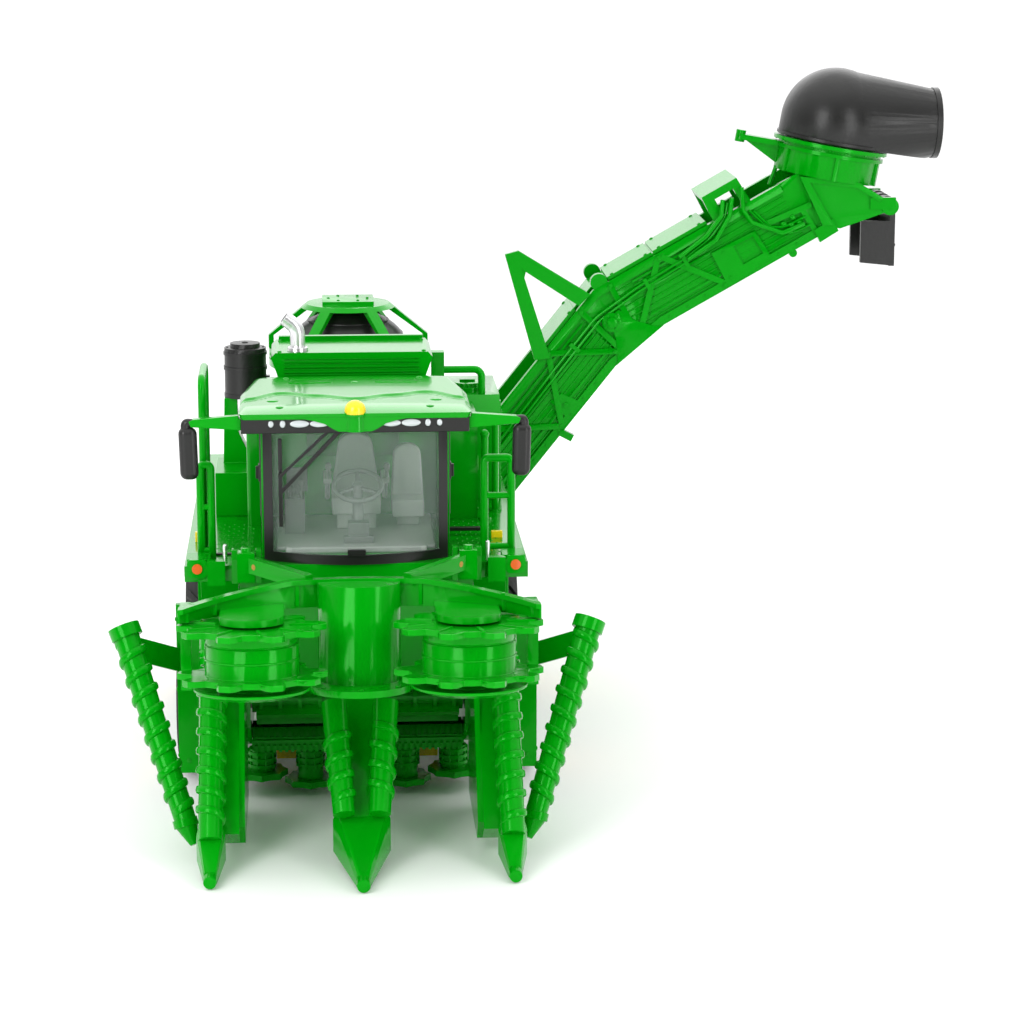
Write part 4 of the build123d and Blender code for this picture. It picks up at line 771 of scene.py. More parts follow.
@dataclass
class Wheel:
    """One wheel: a tyre with curved lugs and a dished rim with its nuts."""

    size: WheelSize
    side: int

    # a lug: height, sections, turn from its foot to its shoulder in radians, half its width
    LUG_HEIGHT = 1.1
    LUG_STEPS = 9
    LUG_SWEEP = 0.42
    LUG_HALF = 0.82
    # share of the lug's run where its top begins to fall, and how far it falls
    LUG_EDGE = 0.86
    LUG_FALL = 0.75
    # the tread's rounded edge: how wide it is and how fast it falls
    ROUND_WIDTH = 2.3
    ROUND_FALL = 0.16

    @property
    def name(self) -> str:
        """The CAD name of this wheel, without its last word."""
        return f"{self.size.end}_{'left' if self.side > 0 else 'right'}"

    @property
    def place(self) -> Matrix:
        """The wheel's frame: Z along the axle from the inner face outwards."""
        size = self.size
        inner = size.face - size.width
        columns = Matrix(((0, 0, self.side), (1, 0, 0), (0, self.side, 0))).to_4x4()
        return Matrix.Translation((self.side * inner, size.axle_y, size.radius)) @ columns

    def _profile(self) -> list[tuple[float, float]]:
        """The carcass as (radius, height) points from bead to bead."""
        size = self.size
        tread = size.radius - self.LUG_HEIGHT
        bead = size.rim_radius
        wall = tread - bead
        half = [
            (bead + 0.02, 0.92),
            (bead + 0.35, 0.5),
            (bead + 0.75, 0.42),
            (bead + 0.85, 0.22),
            (bead + 1.15, 0.2),
            (bead + 1.25, 0.36),
            (bead + wall * 0.45, 0.14),
            (bead + wall * 0.62, 0.06),
            (bead + wall * 0.78, 0.3),
            (bead + wall * 0.81, 0.16),
            (bead + wall * 0.84, 0.18),
            (tread - 0.62, 0.85),
            (tread - 0.22, 1.45),
            (tread - 0.04, 2.3),
            (tread, size.width * 0.32),
        ]
        return half + [(radius, size.width - height) for radius, height in reversed(half)]

    def _surface(self, height: float) -> float:
        """The tread's radius under a lug at a height."""
        size = self.size
        depth = min(height, size.width - height)
        tread = size.radius - self.LUG_HEIGHT
        drop = max(0.0, self.ROUND_WIDTH - depth)
        return tread - drop * drop * self.ROUND_FALL

    def tyre(self) -> bpy.types.Object:
        """Builds the tyre with two rows of curved lugs."""
        size = self.size
        mould = Mould()
        mould.lathe(self._profile(), self.place, 96)
        for row in (0, 1):
            for lug in range(size.lugs):
                self._lug(mould, math.tau * (lug + 0.5 * row) / size.lugs, row)
        self._spokes(mould)
        piece = mould.piece(f"{self.name}_tyre_look", Finish.RUBBER, f"{self.name}_wheel", 0.1, 30.0)
        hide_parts(f"{self.name}_tyre")
        return piece

    def _lug(self, mould: Mould, start: float, row: int) -> None:
        """Adds one curved lug from the tyre's middle to its shoulder."""
        size = self.size
        sections = []
        for step in range(self.LUG_STEPS):
            share = step / (self.LUG_STEPS - 1)
            depth = size.width * 0.52 * (1 - share) + 0.42 * share
            height = depth if row == 0 else size.width - depth
            angle = start + self.LUG_SWEEP * share**1.15
            ground = self._surface(height) - 0.12
            edge = max(0.0, (share - self.LUG_EDGE) / (1 - self.LUG_EDGE))
            top = size.radius - 0.03 - self.LUG_FALL * edge
            half = (self.LUG_HALF + 0.3 * share) / size.radius
            points = []
            for radius, spread in ((ground, 1.3), (top, 0.85), (top, -0.85), (ground, -1.3)):
                turn = angle + half * spread
                points.append(mould.bm.verts.new(
                    self.place @ Vector((radius * math.cos(turn), radius * math.sin(turn), height))
                ))
            sections.append(points)
        for low, high in zip(sections, sections[1:]):
            for corner in range(4):
                after = (corner + 1) % 4
                mould.bm.faces.new((low[corner], low[after], high[after], high[corner]))
        mould.bm.faces.new(sections[0])
        mould.bm.faces.new(list(reversed(sections[-1])))

    def _spokes(self, mould: Mould) -> None:
        """Adds short moulded ribs on both side walls, between the lugs."""
        size = self.size
        bead = size.rim_radius
        for height in (0.22, size.width - 0.22):
            for rib in range(size.lugs * 2):
                turn = Matrix.Rotation(math.tau * (rib + 0.25) / (size.lugs * 2), 4, "Z")
                mould.box((bead + 1.6, bead + 2.5), (-0.12, 0.12), (height - 0.14, height + 0.14),
                          self.place @ turn)

    def rim(self) -> None:
        """Builds the rim's skin, its nuts and its valve."""
        size = self.size
        Skin(f"{self.name}_rim", Finish.YELLOW, 0.16).build()
        mould = Mould()
        seat = size.width * 0.66
        outer = size.rim_radius - 1.9
        # columns: circle, angle of its first, low and high end, both radii, segments
        rows = (
            (size.hub_radius + 0.6, 0.0, -0.05, 0.5, 0.36, 0.32, 6),
            (size.hub_radius + 0.6, 0.0, -0.05, 0.66, 0.16, 0.13, 10),
            (outer, math.pi / size.nuts, -0.6, 0.12, 0.3, 0.26, 12),
        )
        for circle, start, low, high, radius, tip, segments in rows:
            for x, y, _ in ring_spots((0, 0, 0), circle, size.nuts, start):
                foot, head = Vector((x, y, seat + low)), Vector((x, y, seat + high))
                mould.rod(self.place @ foot, self.place @ head, radius, tip, segments)
        mould.piece(f"{self.name}_nuts", Finish.STEEL, f"{self.name}_wheel", 0.05)
        valve = Mould()
        valve.rod(self.place @ Vector((outer + 0.2, 0.9, seat - 0.4)),
                  self.place @ Vector((outer - 0.2, 1.1, seat + 0.8)), 0.14, 0.12, 8)
        valve.piece(f"{self.name}_valve", Finish.BLACK, f"{self.name}_wheel")

    def build(self) -> None:
        """Builds the tyre and the rim."""
        self.tyre()
        self.rim()


# Row dividers


@dataclass
class Scroll:
    """A tapered crop scroll with a helical flight.

    Attributes:
        start: The shaft's foot.
        end: The shaft's top.
        shaft: Shaft radius at both ends.
        flight: Flight radius at both ends.
        hand: 1 for a right-handed flight, -1 for a left-handed one.
    """

    start: Point
    end: Point
    shaft: tuple[float, float]
    flight: tuple[float, float]
    hand: int

    PITCH = 3.7
    # sections in a turn, and how many of them the flight takes to grow or end
    STEPS = 22
    ENDING = 9
    # the flight's section: half widths at the root and rim, its fillet, the crest's share
    ROOT_HALF = 0.9
    RIM_HALF = 0.5
    FILLET = 0.12
    CREST = 0.45
    # shares: where the flight begins in a pitch, and where its flank ends
    FIRST = 0.6
    FLANK = 0.78

    def add(self, mould: Mould) -> None:
        """Adds the shaft and its flight to a mould."""
        start, end = Vector(self.start), Vector(self.end)
        length = (end - start).length
        matrix = Matrix.Translation(start) @ circle_frame(end - start).to_matrix().to_4x4()
        mould.rod(start, end, self.shaft[0], self.shaft[1], 28)
        turns = int((length - self.PITCH) // self.PITCH)
        first = self.PITCH * self.FIRST
        count = int(turns * self.STEPS)
        rings = []
        for step in range(count + 1):
            at = first + self.PITCH * step / self.STEPS
            share = at / length
            shaft = self.shaft[0] + (self.shaft[1] - self.shaft[0]) * share
            reach = self.flight[0] + (self.flight[1] - self.flight[0]) * share
            ending = min(1.0, step / self.ENDING, (count - step) / self.ENDING)
            reach = shaft + (reach - shaft) * math.sin(ending * math.pi / 2)
            angle = self.hand * math.tau * step / self.STEPS
            direction = Vector((math.cos(angle), math.sin(angle), 0.0))
            inner = shaft - 0.15
            middle = shaft + (reach - shaft) * self.FLANK
            half = ((inner, self.ROOT_HALF), (middle, self.RIM_HALF + self.FILLET),
                    (reach, self.RIM_HALF * self.CREST))
            outline = [(radius, -height) for radius, height in half] + list(reversed(half))
            ring = []
            for radius, height in outline:
                point = direction * radius + Vector((0.0, 0.0, at + height))
                ring.append(mould.bm.verts.new(matrix @ point))
            rings.append(ring)
        for low, high in zip(rings, rings[1:]):
            for corner in range(5):
                mould.bm.faces.new((low[corner], low[corner + 1], high[corner + 1], high[corner]))
            mould.bm.faces.new((low[5], low[0], high[0], high[5]))
        mould.bm.faces.new(rings[0])
        mould.bm.faces.new(list(reversed(rings[-1])))


def flipped(point: Point, side: int) -> Vector:
    """Mirrors a point across the centre plane for the right side."""
    return Vector((point[0] * side, point[1], point[2]))


class Dividers:
    """The noses, panels and scrolls in front of the crop throats."""

    DIVIDER_X = 27.0

    def build(self) -> None:
        """Builds all scrolls and the trim on the dividers."""
        for node in ("centre_divider", "left_divider", "right_divider"):
            Skin(node, Finish.GREEN, 0.22).build()
        self._inner()
        self._centre()
        for side, name in SIDES:
            self._outer(side, name)

    def _inner(self) -> None:
        """Builds the inner scroll on each side."""
        x = self.DIVIDER_X
        for side, name in SIDES:
            mould = Mould()
            Scroll(flipped((x, -66.2, 6.6), side), flipped((x - 0.4, -43.0, 37.6), side), (2.2, 2.5),
                   (2.72, 3.0), side).add(mould)
            piece = mould.piece(f"{name}_inner_scroll_look", Finish.GREEN, "machine", 0.05, 40.0)
            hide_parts(f"{name}_inner_scroll")

    def _centre(self) -> None:
        """Builds the two scrolls of the centre."""
        mould = Mould()
        for side in (1, -1):
            Scroll(flipped((3.2, -64.6, 10.4), side), flipped((4.7, -51.9, 27.6), side), (2.0, 2.35),
                   (2.46, 2.86), -side).add(mould)
        piece = mould.piece("centre_scrolls_look", Finish.GREEN, "machine", 0.05, 40.0)
        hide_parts("centre_scrolls")

    def _outer(self, side: int, name: str) -> None:
        """Builds one leaning outer scroll with its collars and arm."""
        x = self.DIVIDER_X + 4.6
        foot = Vector((x, -57.0, 6.8))
        top = Vector((x + 11.2, -42.0, 39.4))
        mould = Mould()
        Scroll(flipped(foot, side), flipped(top, side), (2.0, 2.4), (2.52, 2.94), -side).add(mould)
        # columns: the end that it sits on, offsets of its two faces, their radii, segments
        collars = (
            (top, (-0.6, -0.6, -1.4), (0.2, 0.2, 0.6), 2.95, 2.95, 28),
            (top, (0.1, 0.1, 0.3), (0.25, 0.25, 0.72), 1.3, 1.3, 20),
            (foot, (0.0, 0.0, 0.0), (-1.4, -1.6, -3.4), 2.15, 0.75, 24),
            (foot, (0.35, 0.4, 0.9), (0.0, -0.1, -0.5), 2.28, 2.28, 24),
        )
        for at, low, high, radius, tip, segments in collars:
            low_face, high_face = (flipped(at + Vector(offset), side) for offset in (low, high))
            mould.rod(low_face, high_face, radius, tip, segments)
        held = top + Vector((-2.0, -1.0, -3.4))
        wall = Vector((33.0, -28.0, 29.5))
        mould.bar(flipped(held, side), flipped(wall, side), 4.3, 1.1)
        piece = mould.piece(f"{name}_outer_scroll_look", Finish.GREEN, "machine", 0.1, 40.0)
        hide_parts(f"{name}_outer_scroll")


# Cab and roof


def arch(middle: float, half_low: float, half_high: float, low: float, high: float, steps: int = 12
         ) -> list[tuple[float, float]]:
    """Outlines a rounded back rest in X and Z.

    Args:
        middle: X of its middle.
        half_low: Half its width at the bottom.
        half_high: Half its width at the shoulders.
        low: Height of its bottom.
        high: Height of its top.
        steps: Steps of the rounded top.

    Returns:
        The outline's corners.
    """
    shoulder = high - half_high * 0.85
    points = [(middle - half_low, low), (middle + half_low, low)]
    for step in range(steps + 1):
        angle = math.pi * step / steps
        points.append((middle + half_high * math.cos(angle),
                       shoulder + (high - shoulder) * math.sin(angle)))
    return points


def table_value(table: Sequence[tuple[float, float]], at: float) -> float:
    """Reads a value between the rows of a short table."""
    for (low, first), (high, last) in zip(table, table[1:]):
        if at <= high:
            share = max(0.0, (at - low) / (high - low))
            share = share * share * (3 - 2 * share)
            return first + (last - first) * share
    return table[-1][1]


@dataclass
class Roof:
    """The cab's roof with its crease, pads, lip, brow and the green pedestal."""

    front: float = -35.4
    rear: float = 4.6
    lip_low: float = 76.9
    lip_high: float = 77.9
    crown: float = 1.2
    crease_step: float = 0.42
    crease_width: float = 0.55
    edge: float = 1.7
    front_round: float = 7.0
    rear_round: float = 7.5
    side_fall: float = 0.28
    rows: int = 110
    columns: int = 84

    # columns: Y, half the roof's width
    WIDTHS = ((-35.4, 20.9), (-34.2, 21.4), (-16.0, 21.4), (-1.5, 19.4), (4.6, 16.0))
    WIDEST = 21.4
    # columns: distance from the centre plane, Y of the crease
    CREASE = ((0.0, -25.5), (7.3, -21.6), (13.8, -18.1), (20.0, -23.5), (22.0, -26.0))

    def half(self, y: float) -> float:
        """Half the width at a Y value."""
        for (low, first), (high, last) in zip(self.WIDTHS, self.WIDTHS[1:]):
            if y <= high:
                return first + (last - first) * (y - low) / (high - low)
        return self.WIDTHS[-1][1]

    def height(self, x: float, y: float) -> float:
        """The roof's height over its lip at a place."""
        side = min(1.0, max(0.0, (self.half(y) - abs(x)) / self.edge))
        front = min(1.0, max(0.0, (y - self.front) / self.front_round))
        rear = min(1.0, max(0.0, (self.rear - y) / self.rear_round))
        crease = table_value(self.CREASE, abs(x))
        raised = min(1.0, max(0.0, (y - crease) / self.crease_width + 0.5))
        swell = self.crown - self.crease_step * (1 - raised) - self.side_fall * (abs(x) / self.WIDEST) ** 2
        return swell * (1 - (1 - side) ** 2.4) * (1 - (1 - front) ** 2) * (1 - (1 - rear) ** 1.6)

    def build(self) -> None:
        """Builds the roof, its pads and the pedestal."""
        mould = Mould()
        rows, columns = self.rows, self.columns
        grid = []
        for row in range(rows + 1):
            y = self.front + (self.rear - self.front) * row / rows
            wide = self.half(y)
            line = []
            for column in range(columns + 1):
                share = math.sin(math.pi * (column / columns - 0.5))
                x = wide * (0.55 * share + 0.45 * (2 * column / columns - 1))
                line.append(mould.bm.verts.new((x, y, self.lip_high + self.height(x, y))))
            grid.append(line)
        for low, high in zip(grid, grid[1:]):
            for column in range(columns):
                mould.bm.faces.new((low[column], low[column + 1], high[column + 1], high[column]))
        left_edge = [line[-1] for line in grid[1:-1]]
        right_edge = [line[0] for line in grid[-2:0:-1]]
        rim = grid[0] + left_edge + grid[-1][::-1] + right_edge
        under = [mould.bm.verts.new((vert.co.x * 0.985, vert.co.y, self.lip_low)) for vert in rim]
        count = len(rim)
        for index in range(count):
            after = (index + 1) % count
            mould.bm.faces.new((rim[index], under[index], under[after], rim[after]))
        mould.bm.faces.new(under)
        half = ((3.0, 74.55), (4.0, 75.0), (5.6, 76.0), (8.0, 76.7), (11.0, 77.2))
        brow = [(-x, z) for x, z in reversed(half)] + list(half)
        mould.plate(brow, -35.5, -33.6)
        mould.rod((0, -34.2, 74.5), (0, -34.2, 77.5), 2.05, 1.95, 36)
        mould.rod((0, -34.2, 77.4), (0, -34.2, 77.75), 2.2, 2.2, 36)
        for side in (1, -1):
            for x, y, wide in ((15.2, -25.2, 1.15), (13.9, -31.2, 0.75)):
                z = self.lip_high + self.height(side * x, y)
                mould.oval((side * x, y, z), (wide, 0.8, 0.22))
            mould.oval((side * 12.9, -3.4, 78.75), (0.7, 0.5, 0.5))
            self._panel(mould, side)
        mould.oval((0.3, -8.6, 79.1), (0.75, 0.55, 0.16))
        piece = mould.piece("cab_roof_look", Finish.PAINT, "machine", 0.0, 38.0)
        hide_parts("cab_roof")
        beacon = Mould()
        beacon.rod((0, -34.2, 77.6), (0, -34.2, 78.3), 1.98, 1.98, 36)
        beacon.oval((0, -34.2, 78.25), (1.98, 1.98, 1.95), 32)
        piece = beacon.piece("beacon_look", Finish.YELLOW, "machine")
        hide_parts("beacon")

    def _panel(self, mould: Mould, side: int) -> None:
        """Adds the raised outline of a rear roof panel."""
        corners = [(3.6, -4.6), (4.2, -9.0), (12.6, -9.0), (12.0, -4.6)]
        route = [(side * x, y, self.lip_high + self.height(side * x, y) + 0.02) for x, y in corners]
        route.append(route[0])
        mould.tube(route, 0.13, 6, 0.9)


@dataclass
class Cab:
    """The cab's seats, controls, lamps, seals, door trim and mirrors."""

    half_width: float = 17.6
    floor: float = 50.5
    mat: float = 51.3
    fascia: float = -34.95
    lamp_z: float = 76.0
    mirror_x: float = 30.7

    def build(self) -> None:
        """Builds every part of the cab's trim."""
        self._seats()
        self._controls()
        self._lamps()
        self._trim()
        self._mirrors()

    def _seats(self) -> None:
        """Builds the floor mat and both seats."""
        mould = Mould()
        mould.box((-15, 15), (-28, 0), (self.floor, self.mat))
        mould.box((-13.2, 13.2), (-30.6, -27.9), (self.floor, self.mat + 0.4))
        # columns: middle X, half widths of the back, its low and high end, cushion front, cushion top
        table = (
            (0.3, 4.7, 3.4, 57.0, 69.0, -15.0, 57.8),
            (10.3, 3.1, 2.7, 56.2, 66.6, -12.5, 56.6),
        )
        for middle, low_half, high_half, low, high, front, top in table:
            mould.plate(arch(middle, low_half, high_half, low, high), -7.4, -4.8)
            mould.box((middle - low_half, middle + low_half), (front, -5.2), (top - 3.4, top))
            mould.box((middle - low_half + 0.9, middle + low_half - 0.9), (front + 1.6, -5.6),
                      (self.mat, top - 3.2))
        for rest in (-5.2, 5.9):
            mould.box((rest - 0.8, rest + 0.8), (-14, -5.6), (60.2, 61.4))
            mould.box((rest - 0.5, rest + 0.5), (-8, -6.6), (56.0, 60.4))
        piece = mould.piece("cab_interior_look", Finish.SEAT, "machine", 0.62, 40.0, 4)
        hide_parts("cab_interior")

    def _controls(self) -> None:
        """Builds the wheel, column and levers."""
        mould = Mould()
        hub = Vector((0.5, -19.4, 61.0))
        tilt = Matrix.Translation(hub) @ Matrix.Rotation(math.radians(28), 4, "X")
        mould.lathe(cord(4.5, 0.0, 0.5, 10), tilt, 40)
        for spot in ring_spots((0, 0, 0), 4.4, 3, math.pi / 2):
            mould.rod(tilt @ Vector((0, 0, -0.4)), tilt @ Vector(spot), 0.42, segments=8)
        mould.rod(tilt @ Vector((0, 0, -0.9)), tilt @ Vector((0, 0, 0.4)), 1.2, 1.0, 20)
        mould.rod((0.5, -23.0, self.mat), hub, 1.25, 0.9, 20)
        mould.box((-1.5, 2.5), (-25.0, -21.6), (self.mat, 55.0))
        mould.box((-2.3, 3.3), (-26.0, -24.6), (self.mat, 52.6))
        mould.box((-13.4, -9.6), (-17.0, -7.0), (self.mat, 58.0))
        mould.box((-13.0, -9.0), (-12.6, -11.8), (58.6, 63.2))
        mould.rod((-11.2, -12.0, 57.6), (-11.0, -12.2, 59.4), 0.5)
        levers = ((-10.4, -15.4, 61.4), (-12.4, -15.2, 60.2), (6.0, -13.2, 64.0), (-5.2, -13.4, 64.2))
        for x, y, top in levers:
            mould.rod((x, y, 57.4), (x + 0.2, y - 0.3, top - 0.9), 0.3, segments=8)
            mould.oval((x + 0.2, y - 0.3, top - 0.6), (0.62, 0.62, 0.85), 12)
        mould.piece("cab_controls", Finish.GREY, "machine", 0.22, 40.0, 3)

    def _lamps(self) -> None:
        """Builds the lamps in the fascia."""
        lens, bezel = Mould(), Mould()
        # columns: distance from the centre plane, half width, half height
        lamps = ((15.5, 0.5, 0.62), (13.35, 0.52, 0.68), (10.25, 1.75, 0.68), (6.6, 1.75, 0.66))
        for x, wide, tall in lamps:
            for side in (1, -1):
                spot = (side * x, self.fascia + 0.06, self.lamp_z)
                bezel.oval(spot, (wide + 0.2, 0.16, tall + 0.18), 24)
                lens.oval((spot[0], self.fascia - 0.04, spot[2]), (wide, 0.22, tall), 24)
        lens.piece("fascia_lenses", Finish.LAMP, "machine")
        bezel.piece("fascia_bezels", Finish.BLACK, "machine")

    def _trim(self) -> None:
        """Builds the doors' seals, seams, hinges and handles, the catch and the deck's pins."""
        black, seam = Mould(), Mould()
        for side in (1, -1):
            wall = side * self.half_width
            black.tube(upright_loop(wall, (-24.3, -1.5), (56.5, 72.7)), 0.32, 8, 1.2)
            seam.tube(upright_loop(wall, (-25.7, -0.4), (51.6, 74.0)), 0.1, 6, 0.8)
            hinge = wall + side * 0.2
            for z in (54.0, 70.5):
                black.rod((hinge, -1.1, z), (hinge, -1.1, z + 1.8), 0.45, segments=12)
            black.box(sorted((wall, wall + side * 1.1)), (-22.0, -21.0), (63.1, 65.5))
            black.box(sorted((wall, wall + side * 0.6)), (-22.6, -20.4), (62.7, 65.9))
        black.box((18.1, 24.8), (-10.6, -9.4), (49.9, 50.6))
        black.box((-27.0, -18.1), (-24.6, -23.6), (49.0, 49.4))
        black.box((-1.7, 1.7), (-34.9, -34.0), (50.9, 52.0))
        black.piece("cab_trim", Finish.BLACK, "machine", 0.12, 35.0)
        seam.piece("door_seams", Finish.DARK, "machine")
        tag = Mould()
        tag.box((26.9, 29.2), (9.4, 10.6), (45.0, 46.05))
        tag.piece("yellow_catch", Finish.YELLOW, "machine", 0.08)
        pins = Mould()
        for side in (1, -1):
            pins.rod((side * 24.4, -33.2, 49.4), (side * 24.4, -33.2, 52.9), 0.42, segments=20)
            pins.oval((side * 24.4, -33.2, 52.9), (0.42, 0.42, 0.3), 16)
        pins.piece("deck_pins", Finish.CHROME, "machine")

    def _mirrors(self) -> None:
        """Builds both mirror heads and their necks."""
        mould = Mould()
        for side in (1, -1):
            x = side * self.mirror_x
            mould.box(sorted((x - side * 1.55, x + side * 1.85)), (-34.5, -31.8), (65.5, 75.3))
        for vert in mould.bm.verts:
            if vert.co.z < 70:
                vert.co.x -= math.copysign(0.25, vert.co.x)
        piece = mould.piece("mirror_heads", Finish.BLACK, "machine", 1.25, 35.0, 6)
        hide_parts("mirrors")
        neck = Mould()
        for side in (1, -1):
            bend = [(side * x, -33.1, z) for x, z in ((30.0, 76.0), (31.2, 76.1), (31.3, 73.4))]
            neck.tube(bend, 0.85, 14, 1.0)
        neck.piece("mirror_necks", Finish.BLACK, "machine")


# Hood, extractor and body trim


@dataclass
class Hood:
    """Trim of the engine housing, exhaust, tank, air cleaner and extractor.

    Attributes:
        front: Y of the housing's front face.
        top: Height of the housing's top.
        louvres: Lines across the front face.
        louvre_step: Distance between them.
        tank_top: Height of the tank's top.
        extractor_y: Y of the extractor's axis.
        flange_z: Height of the extractor's flange.
        flange_radius: Radius of the flange.
    """

    front: float = 6.0
    top: float = 82.5
    louvres: int = 8
    louvre_step: float = 0.52
    tank_top: float = 70.3
    extractor_y: float = 65.5
    flange_z: float = 72.0
    flange_radius: float = 17.2

    def build(self) -> None:
        """Builds the hood's trim."""
        self._exhaust()
        self._louvres()
        self._tank()
        self._cleaner()
        self._extractor()

    def _exhaust(self) -> None:
        """Builds the bent exhaust pipe, with a near-black disc in its capped end as painted shade for the
        bore.
        """
        x, y = -10.6, self.front + 2.6
        route = [(x, y, self.top), (x, y, self.top + 4.6), (x - 2.6, y, self.top + 6.6)]
        pipe = Mould()
        pipe.tube(route, 1.46, 28, 3.4)
        pipe.rod((x, y, self.top), (x, y, self.top + 0.75), 2.1, 2.0, 32)
        pipe.rod((x, y, self.top + 0.7), (x, y, self.top + 1.4), 1.62, 1.4, 32)
        pipe.studs(ring_spots((x, y, self.top + 0.7), 1.75, 6), UP, 0.2, 0.2, 6)
        piece = pipe.piece("exhaust_look", Finish.CHROME, "machine", 0.1, 40.0)
        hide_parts("exhaust")
        end = Vector(route[-1])
        along = (end - Vector(route[1])).normalized()
        # a near-black disc just inside the capped end: painted shade standing in for the pipe's hollow bore
        bore = Mould()
        bore.rod(end - along * 0.3, end + along * 0.02, 1.08, segments=28)
        bore.piece("exhaust_bore_painted_shade", Finish.DARK, "machine")

    def _louvres(self) -> None:
        """Builds the hood's louvres, studs and hatches."""
        mould = Mould()
        for row in range(self.louvres):
            low = self.top - 5.0 + row * self.louvre_step
            mould.box((-13.3, 13.3), (self.front - 0.16, self.front + 0.1), (low, low + 0.16))
        for side in (1, -1):
            spots = [(side * 14.2, y, self.top) for y in (7.4, 21.0)]
            mould.studs(spots, UP, 0.42, 0.25)
            mould.studs([(side * 12.6, y, 76.0) for y in (26.0, 35.0, 44.6)], UP, 0.4, 0.25)
        mould.tube([(-17.6, 26.5, 70.02), (-17.6, 44.8, 70.02), (-15.2, 44.8, 70.02), (-15.2, 26.5, 70.02),
                    (-17.6, 26.5, 70.02)], 0.12, 6, 0.5)
        mould.tube(upright_loop(-19.0, (27.6, 45.2), (51.2, 68.6)), 0.14, 6, 0.9)
        for z in (54.0, 65.0):
            mould.rod((-19.1, 45.7, z), (-19.1, 45.7, z + 1.8), 0.4, segments=12)
        mould.studs([(-19.0, 28.9, 60.0)], (-1, 0, 0), 0.7, 0.35, 20)
        mould.piece("hood_trim", Finish.PAINT, "machine", 0.05)

    def _tank(self) -> None:
        """Builds the filler cap, the tank's bolts and the seams of the hatch in front of it."""
        cap = Mould()
        for x, y, z in ring_spots((24.0, 31.0, self.tank_top + 1.0), 2.9, 20):
            cap.rod((x, y, z), (x, y, self.tank_top + 1.75), 0.22, segments=8)
        cap.box((22.4, 25.6), (30.6, 31.4), (self.tank_top + 1.7, self.tank_top + 2.3))
        for y in (29.8, 43.8):
            for z in (52.0, 66.0):
                cap.studs([(30.8, y, z)], (1, 0, 0), 0.42, 0.3, 6)
        cap.tube([(30.3, 24.6, 50.4), (30.3, 48.8, 50.4)], 0.2, 6)
        cap.studs([(24.65, y, z) for y in (6.6, 21.0) for z in (50.6, 67.8)], (1, 0, 0), 0.35, 0.25)
        cap.tube(upright_loop(24.62, (7.6, 20.0), (51.4, 67.0)), 0.13, 6, 0.8)
        cap.box((24.5, 25.0), (8.6, 9.3), (58.0, 61.0))
        cap.piece("tank_trim", Finish.PAINT, "machine", 0.08)

    def _cleaner(self) -> None:
        """Builds the air cleaner's knob and studs."""
        mould = Mould()
        x, y = -21.3, 23.2
        mould.oval((x, y, 81.9), (0.7, 0.7, 0.3))
        mould.studs(ring_spots((x, y, 81.0), 3.6, 6), UP, 0.24, 0.15)
        mould.piece("cleaner_trim", Finish.BLACK, "machine")

    def _extractor(self) -> None:
        """Builds the drum's bolts, the cage's bolts and the dome."""
        centre = (0.0, self.extractor_y, self.flange_z - 1.5)
        drum = Mould()
        drum.studs(ring_spots(centre, 16.5, 20), DOWN, 0.34, 0.3, 6)
        for x, y, z in ring_spots((0.0, self.extractor_y, 49.0), 15.6, 8, math.pi / 8):
            drum.rod((x, y, z), (x, y, z + 21.5), 0.32, segments=8)
        drum.piece("extractor_trim", Finish.PAINT, "machine")
        cage = Mould()
        cage.studs(ring_spots((0.0, self.extractor_y, 84.6), 4.2, 6), UP, 0.35, 0.25, 6)
        for spot in ring_spots((0.0, self.extractor_y, 73.3), self.flange_radius, 12, math.pi / 12):
            way = Vector(spot) - Vector((0.0, self.extractor_y, 73.3))
            cage.studs([spot], way, 0.4, 0.25)
        cage.piece("cage_bolts", Finish.GREEN, "extractor_hood")
        dome = Mould()
        arcs = [math.pi / 2 * step / 14 for step in range(15)]
        outer = [(12.84 * math.cos(arc) + 0.06, 73.4 + 8.8 * math.sin(arc)) for arc in arcs]
        inner = [(12.4 * math.cos(arc) + 0.06, 73.4 + 8.4 * math.sin(arc)) for arc in reversed(arcs)]
        dome.lathe(outer + inner + outer[:1], Matrix.Translation((0, self.extractor_y, 0)), 64)
        for radius, z in ((11.6, 77.1), (8.6, 79.95)):
            dome.lathe(cord(radius, z, 0.25, 8), Matrix.Translation((0, self.extractor_y, 0)), 48)
        dome.piece("dome_ribs", Finish.BLACK, "extractor_hood")


